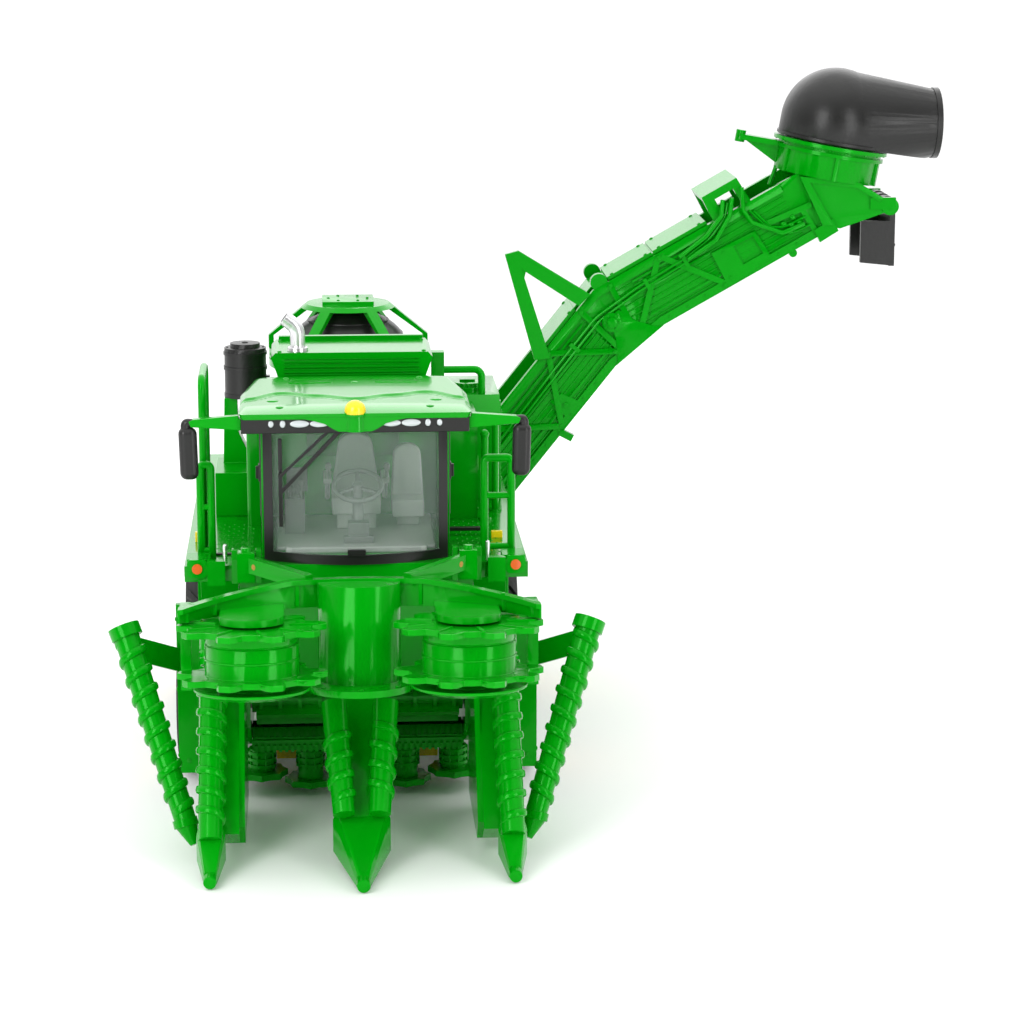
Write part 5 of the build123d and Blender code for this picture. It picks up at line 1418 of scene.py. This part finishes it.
@dataclass
class Body:
    """Deck tread, latches, seams, bolts and handrail feet.

    Attributes:
        deck_top: Height of the deck's top.
        frame_half: Half the frame's width.
        panel_x: Distance of the side panels from the centre plane.
        tread_step: Distance between the tread's studs.
        tread_end: X where the right deck's tread ends.
    """

    deck_top: float = 49.0
    frame_half: float = 22.0
    panel_x: float = 31.7
    tread_step: float = 1.9
    tread_end: float = -27.2

    def build(self) -> None:
        """Builds the body's trim."""
        self._deck()
        self._sides()
        self._rear()

    def _deck(self) -> None:
        """Builds the deck's tread, studs and edges, and the handrails' feet."""
        mould = Mould()
        for side in (1, -1):
            for row in range(15):
                for column in range(5):
                    x = side * (19.6 + (column + (row % 2) / 2) * self.tread_step)
                    y = -24.5 + row * self.tread_step
                    if x < self.tread_end:
                        continue
                    mould.rod((x, y, self.deck_top - 0.1), (x, y, self.deck_top + 0.07), 0.34, 0.2, 4)
            mould.studs([(side * 31.0, y, self.deck_top) for y in (52, 62, 72)], UP, 0.45, 0.25)
            mould.box(span(side, 31.9, 32.12), (-31, 72), (46.6, 48.4))
        for x, y in ((-28.4, -24), (-28.4, -8), (26.0, 4.0), (28.6, 12.0)):
            mould.rod((x, y, self.deck_top - 0.1), (x, y, self.deck_top + 0.4), 1.35, 1.25, 20)
        mould.piece("deck_tread", Finish.PAINT, "machine")

    def _sides(self) -> None:
        """Builds the sides' seams, bolts and latches, and the yellow marks on the deck."""
        mould, latch = Mould(), Mould()
        for side in (1, -1):
            x = side * self.panel_x
            corners = [(x, y, z) for y in (20.2, 35.8) for z in (20.4, 40.6)]
            mould.studs(corners, (side, 0, 0), 0.42, 0.28, 6)
            mould.tube([(x, 19.9, 36.8), (x, 36.1, 36.8)], 0.16, 6)
            latch.studs([(x, 28.0, 39.0)], (side, 0, 0), 0.85, 0.35, 24)
            latch.box(sorted((x, x + side * 0.55)), (27.6, 28.4), (37.4, 40.6))
            frame_x = side * self.frame_half
            mould.studs([(frame_x, -23.0 + 4.6 * step, 43.6) for step in range(9)], (side, 0, 0), 0.4, 0.25)
            mould.studs([(frame_x, y, 15.2) for y in (24, 32, 40, 70)], (side, 0, 0), 0.4, 0.25)
            mould.box(sorted((frame_x, frame_x + side * 0.35)), (-25.5, 16.0), (41.4, 42.2))
            mould.box(sorted((frame_x, frame_x + side * 0.35)), (-25.5, -24.6), (18.0, 41.6))
            mould.studs([(side * 34.0, -27.8, z) for z in (11.0, 24.0, 37.6)], (side, 0, 0), 0.4, 0.25)
            corners = [(side * across, -28.5, z) for across in (24.2, 32.2) for z in (10.0, 38.2)]
            mould.studs(corners, (0, -1, 0), 0.42, 0.25)
        mould.piece("side_trim", Finish.PAINT, "machine", 0.04)
        marks = Mould()
        marks.box((26.3, 28.5), (-12.8, -11.8), (self.deck_top - 0.1, 50.3))
        marks.box((-30.7, -29.6), (-12.8, -11.8), (self.deck_top - 0.1, 50.9))
        marks.piece("deck_marks", Finish.YELLOW, "machine", 0.12)
        latch.piece("side_latches", Finish.BLACK, "machine", 0.08)

    def _rear(self) -> None:
        """Builds the bolts at the rear and on the turntable."""
        mould = Mould()
        for x in (4.0, 14.0, 20.6):
            for side in (1, -1):
                mould.studs([(side * x, 73.0, z) for z in (16.0, 43.2)], (0, 1, 0), 0.45, 0.28, 6)
        for z, way in ((13.6, DOWN), (31.6, UP)):
            mould.studs(ring_spots((0, 84.0, z), 5.0, 6, math.pi / 6), way, 0.42, 0.3, 6)
        mould.box((-12.0, 12.0), (74.0, 74.2), (46.8, 48.2))
        mould.piece("rear_bolts", Finish.PAINT, "machine")
        slew = Mould()
        slew.studs(ring_spots((0, 84.0, 31.4), 4.6, 8), UP, 0.36, 0.24, 6)
        slew.studs(ring_spots((15.0, 77.5, 23.7), 3.4, 6, upright=True), (0, -1, 0), 0.36, 0.24, 6)
        slew.piece("slew_bolts", Finish.GREEN, "slew")


# Topper


@dataclass
class Topper:
    """Ribs, bolts, pins and drum trim of the topper.

    Attributes:
        place_y: Y of the drums' axes.
        place_z: Height of the drums' middle.
        tilt: Lean of the topper in degrees.
        drum_x: Distance of the drums from the centre plane.
        band_y: Y of the band's centre in the topper's frame.
        band_radius: Radius of the band's inner face.
    """

    place_y: float = -72.0
    place_z: float = 42.7
    tilt: float = 5.0
    drum_x: float = 18.9
    band_y: float = -20.5
    band_radius: float = 37.4

    @property
    def place(self) -> Matrix:
        """The topper's frame."""
        turn = Matrix.Rotation(math.radians(-self.tilt), 4, "X")
        return Matrix.Translation((0, self.place_y, self.place_z)) @ turn

    def build(self) -> None:
        """Builds the topper's trim."""
        place = self.place
        mould = Mould()
        under = [place @ Vector((x, y, -7.8)) for x, y in ((-6.6, 6.4), (6.6, 6.4), (0, 3.4))]
        mould.studs(under, UP, 0.5, 0.25)
        for side in (1, -1):
            for x, tall in ((11.0, 4.2), (25.4, 3.2)):
                back = self.band_y + math.sqrt(self.band_radius**2 - x * x)
                mould.box((x * side - 0.35, x * side + 0.35), (back - 0.35, back + 0.6),
                          (5.5, 5.5 + tall), place)
            for y, z in ((9.6, 5.0), (9.6, -5.6), (4.2, 6.1)):
                mould.studs([place @ Vector((side * 31.6, y, z))], (side, 0, 0), 0.5, 0.28, 6)
        mould.piece("topper_trim", Finish.GREEN, "topper", 0.06)
        gold = Mould()
        for side in (1, -1):
            ends = [(side * 18.9, -42.6, 50.9), (side * 9.6, -53.6, 50.5)]
            gold.studs(ends, (side * 0.766, -0.643, 0), 0.55, 0.22, 16)
        gold.piece("arm_rivets", Finish.GOLD, "topper")
        for side, name in SIDES:
            drum = Mould()
            frame_of = place @ Matrix.Translation((side * self.drum_x, 0, 0))
            collar = [(2.2, -7.6), (3.0, -7.6), (3.2, -7.2), (3.2, -6.6), (2.2, -6.6), (2.2, -7.6)]
            drum.lathe(collar, frame_of, 32)
            for turn in range(9):
                spin = frame_of @ Matrix.Rotation(math.tau * turn / 9, 4, "Z")
                drum.box((6.6, 11.6), (-0.3, 0.3), (4.72, 5.0), spin)
                drum.box((7.6, 12.2), (-0.3, 0.3), (-4.25, -3.95), spin)
            drum.lathe([(8.1, -1.1), (8.36, -1.0), (8.36, -0.7), (8.1, -0.6), (8.1, -1.1)], frame_of, 64)
            drum.piece(f"{name}_drum_trim", Finish.GREEN, f"{name}_drum", 0.04)


# Crop throats


@dataclass
class Throat:
    """Rollers' collars, plates, combs and cutter bars behind the dividers."""

    roller_y: float = -20.0
    roller_z: float = 20.0
    cutter_y: float = -16.5

    def build(self) -> None:
        """Builds the trim of both throats."""
        green, comb, yellow = Mould(), Mould(), Mould()
        for side in (1, -1):
            for x in (3.4, 7.2, 11.0, 14.8, 18.4):
                ends = [(side * x + half, self.roller_y, self.roller_z) for half in (-0.4, 0.4)]
                green.rod(*ends, 4.1, segments=24)
            for step in range(16):
                x = side * (2.2 + step * 1.15)
                comb.box((x - 0.3, x + 0.3), (-25.4, -23.2), (10.4, 11.7))
                green.box((x - 0.22, x + 0.22), (-19.3, -18.8), (9.6, 13.3))
            comb.box(span(side, 1.4, 20.3), (-24.6, -23.4), (11.4, 12.5))
            green.box(span(side, 1.4, 20.4), (-24.4, -24.0), (26.5, 36.2))
            comb.box(span(side, 1.4, 20.3), (-19.25, -18.9), (11.2, 11.6))
            for disc in (9.2, 18.6):
                for x, y, foot in ring_spots((side * disc, self.cutter_y, 4.9), 2.62, 10):
                    green.rod((x, y, foot), (x, y, 8.6), 0.24, segments=6)
            yellow.box(span(side, 11.4, 15.8), (-10.6, -9.4), (4.6, 9.3))
        green.piece("throat_trim", Finish.GREEN, "machine", 0.04)
        comb.piece("throat_combs", Finish.GREEN, "machine")
        yellow.piece("yellow_plates", Finish.YELLOW, "machine", 0.1)


# Elevator


@dataclass
class Elevator:
    """Bolts, ribs, clamps, hoses and latches of the elevator.

    Attributes:
        pivot: X and Z of the lift's axis.
        lower_angle: Rise of the lower boom in degrees.
        upper_angle: Rise of the upper boom in degrees.
        lower_length: Length of the lower boom.
        middle_y: Y of the boom's middle.
        half_width: Half the boom's width.
        half_depth: Half the boom's depth.
        rail_stud: Radius of the small studs along the lower rail.
        ribs: Long ribs on each side.
        rib_low: Rise of the lowest rib.
        rib_step: Distance between ribs.
        rib_foot: Half a rib's width at the boom.
        rib_crest: Half its width at the top.
        rib_out: How far it stands out.
    """

    pivot: Point = (15.0, 23.7)
    lower_angle: float = 51.5
    upper_angle: float = 29.5
    lower_length: float = 70.4
    middle_y: float = 84.0
    half_width: float = 8.5
    half_depth: float = 7.25
    rail_stud: float = 0.32
    ribs: int = 8
    rib_low: float = -4.9
    rib_step: float = 1.32
    rib_foot: float = 0.26
    rib_crest: float = 0.12
    rib_out: float = 0.24

    def low(self, run: float, rise: float) -> tuple[float, float]:
        """A place on the lower boom as (x, z)."""
        angle = math.radians(self.lower_angle)
        return (self.pivot[0] + run * math.cos(angle) - rise * math.sin(angle),
                self.pivot[1] + run * math.sin(angle) + rise * math.cos(angle))

    def up(self, run: float, rise: float) -> tuple[float, float]:
        """A place on the upper boom as (x, z)."""
        knee = self.low(self.lower_length, 0.0)
        angle = math.radians(self.upper_angle)
        return (knee[0] + run * math.cos(angle) - rise * math.sin(angle),
                knee[1] + run * math.sin(angle) + rise * math.cos(angle))

    def build(self) -> None:
        """Builds the elevator's trim."""
        self._bolts()
        self._cover()
        self._hoses()
        self._ring()
        self._flap()

    def _bolts(self) -> None:
        """Builds the boom's bolts and ribs."""
        mould = Mould()
        rail = self.half_depth - 0.95
        # columns: run, rise, stud radius
        low = [
            (22.5, -rail, 0.55), (33.2, rail, 0.55), (43.9, -rail, 0.55), (54.8, rail, 0.55),
            (64.2, -5.2, 0.5), (66.4, rail, 0.5), (48.2, -4.0, 0.6),
        ]
        up = [
            (2.4, rail, 0.5), (14.6, rail, 0.55), (24.6, -rail, 0.55), (38.0, 1.1, 0.4), (49.2, -0.1, 0.4),
            (48.6, -6.8, 0.5), (50.8, -6.7, 0.5), (26.4, -5.4, 0.4), (27.6, 0.2, 0.4),
        ]
        low += [(12.0 + 4.4 * step, -rail, self.rail_stud) for step in range(11)]
        up += [(10.5 + 4.6 * step, -rail, self.rail_stud) for step in range(9)]
        table = [(*part(run, rise), radius) for part, rows in ((self.low, low), (self.up, up))
                 for run, rise, radius in rows]
        for side in (-1, 1):
            face = self.middle_y + side * (self.half_width + 0.68)
            for x, z, radius in table:
                raised = face + side * (0.0 if radius == self.rail_stud else 0.22)
                mould.studs([(x, raised, z)], (0, side, 0), radius, 0.26, 12)
            x, z = self.low(self.lower_length - 1.5, -0.3)
            hub = ring_spots((x, face + side * 1.05, z), 1.62, 6, upright=True)
            mould.studs(hub, (0, side, 0), 0.3, 0.22, 6)
            x, z = self.pivot
            foot = ring_spots((x, self.middle_y + side * self.half_width, z), 4.9, 8, upright=True)
            mould.studs(foot, (0, side, 0), 0.42, 0.28, 6)
            self._ribs(mould, side)
        mould.piece("boom_bolts", Finish.GREEN, "elevator")

    def _ribs(self, mould: Mould, side: int) -> None:
        """Adds the long ribs along one side of both booms."""
        near, far = (self.middle_y + side * (self.half_width + reach) for reach in (-0.1, self.rib_out))
        for part, first, last in ((self.low, 7.0, 65.5), (self.up, 3.0, 45.0)):
            for rib in range(self.ribs):
                rise = self.rib_low + self.rib_step * rib
                corners = []
                for y, half in ((near, self.rib_foot), (far, self.rib_crest)):
                    for run, lean in ((first, -half), (last, -half), (last, half), (first, half)):
                        x, z = part(run, rise + lean)
                        corners.append(mould.bm.verts.new((x, y, z)))
                mould.bm.faces.new(corners[0:4])
                mould.bm.faces.new(corners[4:8])
                for turn in range(4):
                    after = (turn + 1) % 4
                    mould.bm.faces.new((corners[turn], corners[after], corners[4 + after],
                                        corners[4 + turn]))

    def _cover(self) -> None:
        """Builds the studs of the boom's covers."""
        mould = Mould()
        top = self.half_depth + 0.9
        for part, first, last in ((self.low, 54.0, 66.0), (self.up, 2.6, 13.8), (self.up, 14.2, 27.6)):
            for side in (-1, 1):
                y = self.middle_y + side * (self.half_width - 1.1)
                for share in (0.12, 0.88):
                    x, z = part(first + (last - first) * share, top)
                    normal = Vector((part(0, 1)[0] - part(0, 0)[0], 0, part(0, 1)[1] - part(0, 0)[1]))
                    mould.studs([(x, y, z)], normal, 0.42, 0.26)
        mould.piece("cover_trim", Finish.GREEN, "elevator", 0.05)

    def _hoses(self) -> None:
        """Builds the hoses, their clamps and fittings."""
        mould = Mould()
        y = self.middle_y - self.half_width - 1.05
        # columns: radius, (run, rise) on the upper boom, (run, rise) on the lower boom
        routes = (
            (0.3, ((33.6, 9.4), (31.8, 7.0), (27.0, 4.6), (20.0, 3.4), (8.0, 3.1)),
             ((67.4, 3.1), (50.0, 3.0), (30.0, 2.8), (14.0, 2.6))),
            (0.3, ((34.6, 9.0), (32.8, 6.2), (27.6, 3.7), (20.0, 2.5), (8.0, 2.1)),
             ((67.6, 2.0), (50.0, 1.9), (30.0, 1.7), (14.0, 1.6))),
            (0.28, ((37.0, 5.6), (38.6, 0.4), (42.0, -1.6), (47.2, -1.8)), ()),
            (0.28, ((37.8, 5.0), (39.6, -0.8), (43.0, -3.6), (47.2, -3.9)), ()),
        )
        for radius, upper, lower in routes:
            flat = [self.up(*corner) for corner in upper] + [self.low(*corner) for corner in lower]
            mould.tube([(x, y, z) for x, z in flat], radius, 8, 1.6)
        clamps = ((self.low, 20.0), (self.low, 38.6), (self.low, 59.4), (self.up, 9.6), (self.up, 19.4))
        for part, run in clamps:
            first, last = part(run, 1.2), part(run, 3.9)
            mould.bar((first[0], y + 0.25, first[1]), (last[0], y + 0.25, last[1]), 0.9, 1.1)
        for run, rise in ((42.2, -0.9), (43.6, -1.9), (42.6, -3.0), (44.6, -0.6), (45.4, -2.4)):
            x, z = self.up(run, rise)
            mould.oval((x, y, z), (0.75, 0.4, 0.55), 12)
        mould.piece("boom_hoses", Finish.GREEN, "elevator")

    def _ring(self) -> None:
        """Builds the ring's bolts and the hood's rim."""
        mould = Mould()
        lean = Matrix.Rotation(math.radians(10), 4, "Y")
        place = Matrix.Translation((107.0, self.middle_y, 112.0)) @ lean
        down = place.to_3x3() @ Vector((0, 0, -1))
        for spot in ring_spots((0, 0, 2.9), 12.15, 18):
            mould.studs([place @ Vector(spot)], down, 0.28, 0.22, 6)
        mould.rod(place @ Vector((-11.2, -1.0, -3.2)), place @ Vector((-11.9, -1.0, -7.6)), 0.5,
                  segments=12)
        mould.piece("ring_bolts", Finish.GREEN, "elevator")
        hood = Mould()
        lip = [(11.9, 4.05), (12.25, 4.15), (12.25, 4.75), (11.9, 4.85), (11.9, 4.05)]
        hood.lathe(lip, place, 64)
        hood.piece("hood_rim", Finish.BLACK, "spout")

    def _flap(self) -> None:
        """Builds the flap's hinges and ribs."""
        mould = Mould()
        x, z = 119.51, 102.5
        for y in (78.6, 84.0, 89.4):
            mould.rod((x, y - 0.9, z), (x, y + 0.9, z), 1.95, segments=20)
            mould.box((x + 1.6, x + 1.95), (y - 0.5, y + 0.5), (z - 12.6, z - 1.0))
        mould.box((x + 1.6, x + 2.0), (77.6, 90.4), (z - 9.2, z - 8.6))
        mould.piece("flap_ribs", Finish.BLACK, "flap", 0.1)


# Stage


def put_in_scene(name: str, data: bpy.types.ID) -> bpy.types.Object:
    """Makes an object of some data and links it to the scene."""
    made = bpy.data.objects.new(name, data)
    bpy.context.scene.collection.objects.link(made)
    return made


class Studio:
    """The plain floor, soft light and the camera at the photograph's angle."""

    # the camera: place, turn to its right and down in degrees, focal length and frame in pixels, sensor
    EYE = (-7.2, -577.8, 178.0)
    HEADING = 3.8
    PITCH = 12.35
    FOCUS = 3000.0
    FRAME_PIXELS = 1024.0
    SENSOR = 36.0
    # the world's light: weights of the Y and Z directions, where it starts and ends, both strengths
    TILT = (0.55, 0.85)
    RISE = (-0.2, 0.6)
    TENT = (0.1, 1.4)

    def build(self) -> None:
        """Makes the floor, world, lights and camera."""
        self._floor()
        self._world()
        self._lights()
        self._camera()

    def _floor(self) -> None:
        """Builds the pale floor."""
        mesh = bpy.data.meshes.new("floor")
        work = bmesh.new()
        bmesh.ops.create_grid(work, x_segments=2, y_segments=2, size=30.0)
        work.to_mesh(mesh)
        work.free()
        material = bpy.data.materials.new("pale_floor")
        material.use_nodes = True
        shader = material.node_tree.nodes["Principled BSDF"]
        shader.inputs["Base Color"].default_value = (0.93, 0.93, 0.93, 1.0)
        shader.inputs["Roughness"].default_value = 0.85
        shader.inputs["Specular IOR Level"].default_value = 0.15
        mesh.materials.append(material)
        put_in_scene("floor", mesh)

    def _world(self) -> None:
        """Builds a white world whose light grows from low to high, like a tent."""
        world = bpy.data.worlds.new("studio")
        world.use_nodes = True
        backdrop = world.node_tree.nodes["Background"]
        tree = Tree(world.node_tree)
        where = tree.add("ShaderNodeTexCoord").outputs["Generated"]
        parts = tree.add("ShaderNodeSeparateXYZ")
        tree.join(where, parts.inputs["Vector"])
        back, up = (tree.math("MULTIPLY", parts.outputs[axis], weight)
                    for axis, weight in zip("YZ", self.TILT))
        tent = tree.remap(tree.math("ADD", back, up), *self.RISE, *self.TENT)
        seen = tree.add("ShaderNodeLightPath").outputs["Is Camera Ray"]
        strength = tree.add("ShaderNodeMix", data_type="FLOAT")
        tree.join(seen, strength.inputs["Factor"])
        tree.join(tent, strength.inputs["A"])
        strength.inputs["B"].default_value = 1.0
        backdrop.inputs["Color"].default_value = (1.0, 1.0, 1.0, 1.0)
        tree.join(strength.outputs["Result"], backdrop.inputs["Strength"])
        bpy.context.scene.world = world
        bpy.context.scene.view_settings.view_transform = "Standard"

    def _lights(self) -> None:
        """Builds the four area lights."""
        # columns: name, place, aim, size, second size, power in watts
        table = (
            ("key", (-250, -400, 250), (10, -10, 40), 0.20, 0.34, 1.35),
            ("fill", (330, -400, 170), (20, 0, 50), 0.14, 0.40, 0.95),
            ("top", (40, 40, 520), (30, 10, 40), 0.50, 0.50, 0.25),
            ("rear", (60, 420, 330), (30, 40, 60), 0.50, 0.30, 0.5),
        )
        for name, place, aim, wide, deep, power in table:
            light = bpy.data.lights.new(name, "AREA")
            light.shape = "RECTANGLE"
            light.size = wide
            light.size_y = deep
            light.energy = power
            lamp = put_in_scene(name, light)
            lamp.location = machine(*place)
            toward = machine(*aim) - lamp.location
            lamp.rotation_euler = toward.to_track_quat("-Z", "Y").to_euler()

    def _camera(self) -> None:
        """Builds the camera that was fitted to the photo."""
        data = bpy.data.cameras.new("camera")
        data.sensor_width = self.SENSOR
        data.lens = self.FOCUS / self.FRAME_PIXELS * self.SENSOR
        data.clip_end = 100.0
        camera = put_in_scene("camera", data)
        camera.location = machine(*self.EYE)
        camera.rotation_euler = (math.radians(90.0 - self.PITCH), 0.0, math.radians(-self.HEADING))
        bpy.context.scene.camera = camera


# Assembly

OWN_MADE = {
    *(f"{end}_{name}_{part}" for end in ("front", "rear") for _, name in SIDES
      for part in ("tyre", "rim")),
    *(f"{name}_{part}" for _, name in SIDES for part in ("inner_scroll", "outer_scroll", "divider")),
    "centre_scrolls", "centre_divider", "cab_roof", "beacon", "cab_interior", "mirrors", "exhaust",
}

SKINS: dict[str, Finish] = {
    "front_axle": Finish.STEEL,
    "rear_axle": Finish.STEEL,
    "main_frame": Finish.PAINT,
    "deck": Finish.PAINT,
    "side_bodies": Finish.PAINT,
    "cab_shell": Finish.PAINT,
    "engine_housing": Finish.PAINT,
    "extractor_housing": Finish.PAINT,
    "tank": Finish.PAINT,
    "windscreen": Finish.PANE,
    "side_windows": Finish.PANE,
    "windscreen_frame": Finish.BLACK,
    "light_bar": Finish.BLACK,
    "air_cleaner": Finish.BLACK,
    "extractor_dome": Finish.BLACK,
    "secondary_hood": Finish.BLACK,
    "bin_flap": Finish.BLACK,
    "front_lamps": Finish.AMBER,
    "yellow_crossbar": Finish.YELLOW,
    "wiper": Finish.BLACK,
}

# nodes whose faces a wider bevel would turn over, with the width that they take
FINE_EDGES = {"side_bodies": 0.05, "deck": 0.06}
USUAL_EDGE = 0.14


def main() -> None:
    """Builds the whole look in order."""
    logging.basicConfig(level=logging.INFO, format="%(name)s: %(message)s")
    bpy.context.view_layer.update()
    Library.open()
    for size in (FRONT_WHEEL, REAR_WHEEL):
        for side in (1, -1):
            Wheel(size, side).build()
    for assembly in (Dividers(), Roof(), Cab(), Hood(), Body(), Topper(), Throat(), Elevator()):
        assembly.build()
        log.info("%s is built", type(assembly).__name__)
    for node in sorted(frame["nodes"]):
        if node not in OWN_MADE:
            Skin(node, SKINS.get(node, Finish.GREEN), FINE_EDGES.get(node, USUAL_EDGE)).build()
    Studio().build()


if __name__ == "__main__":
    main()
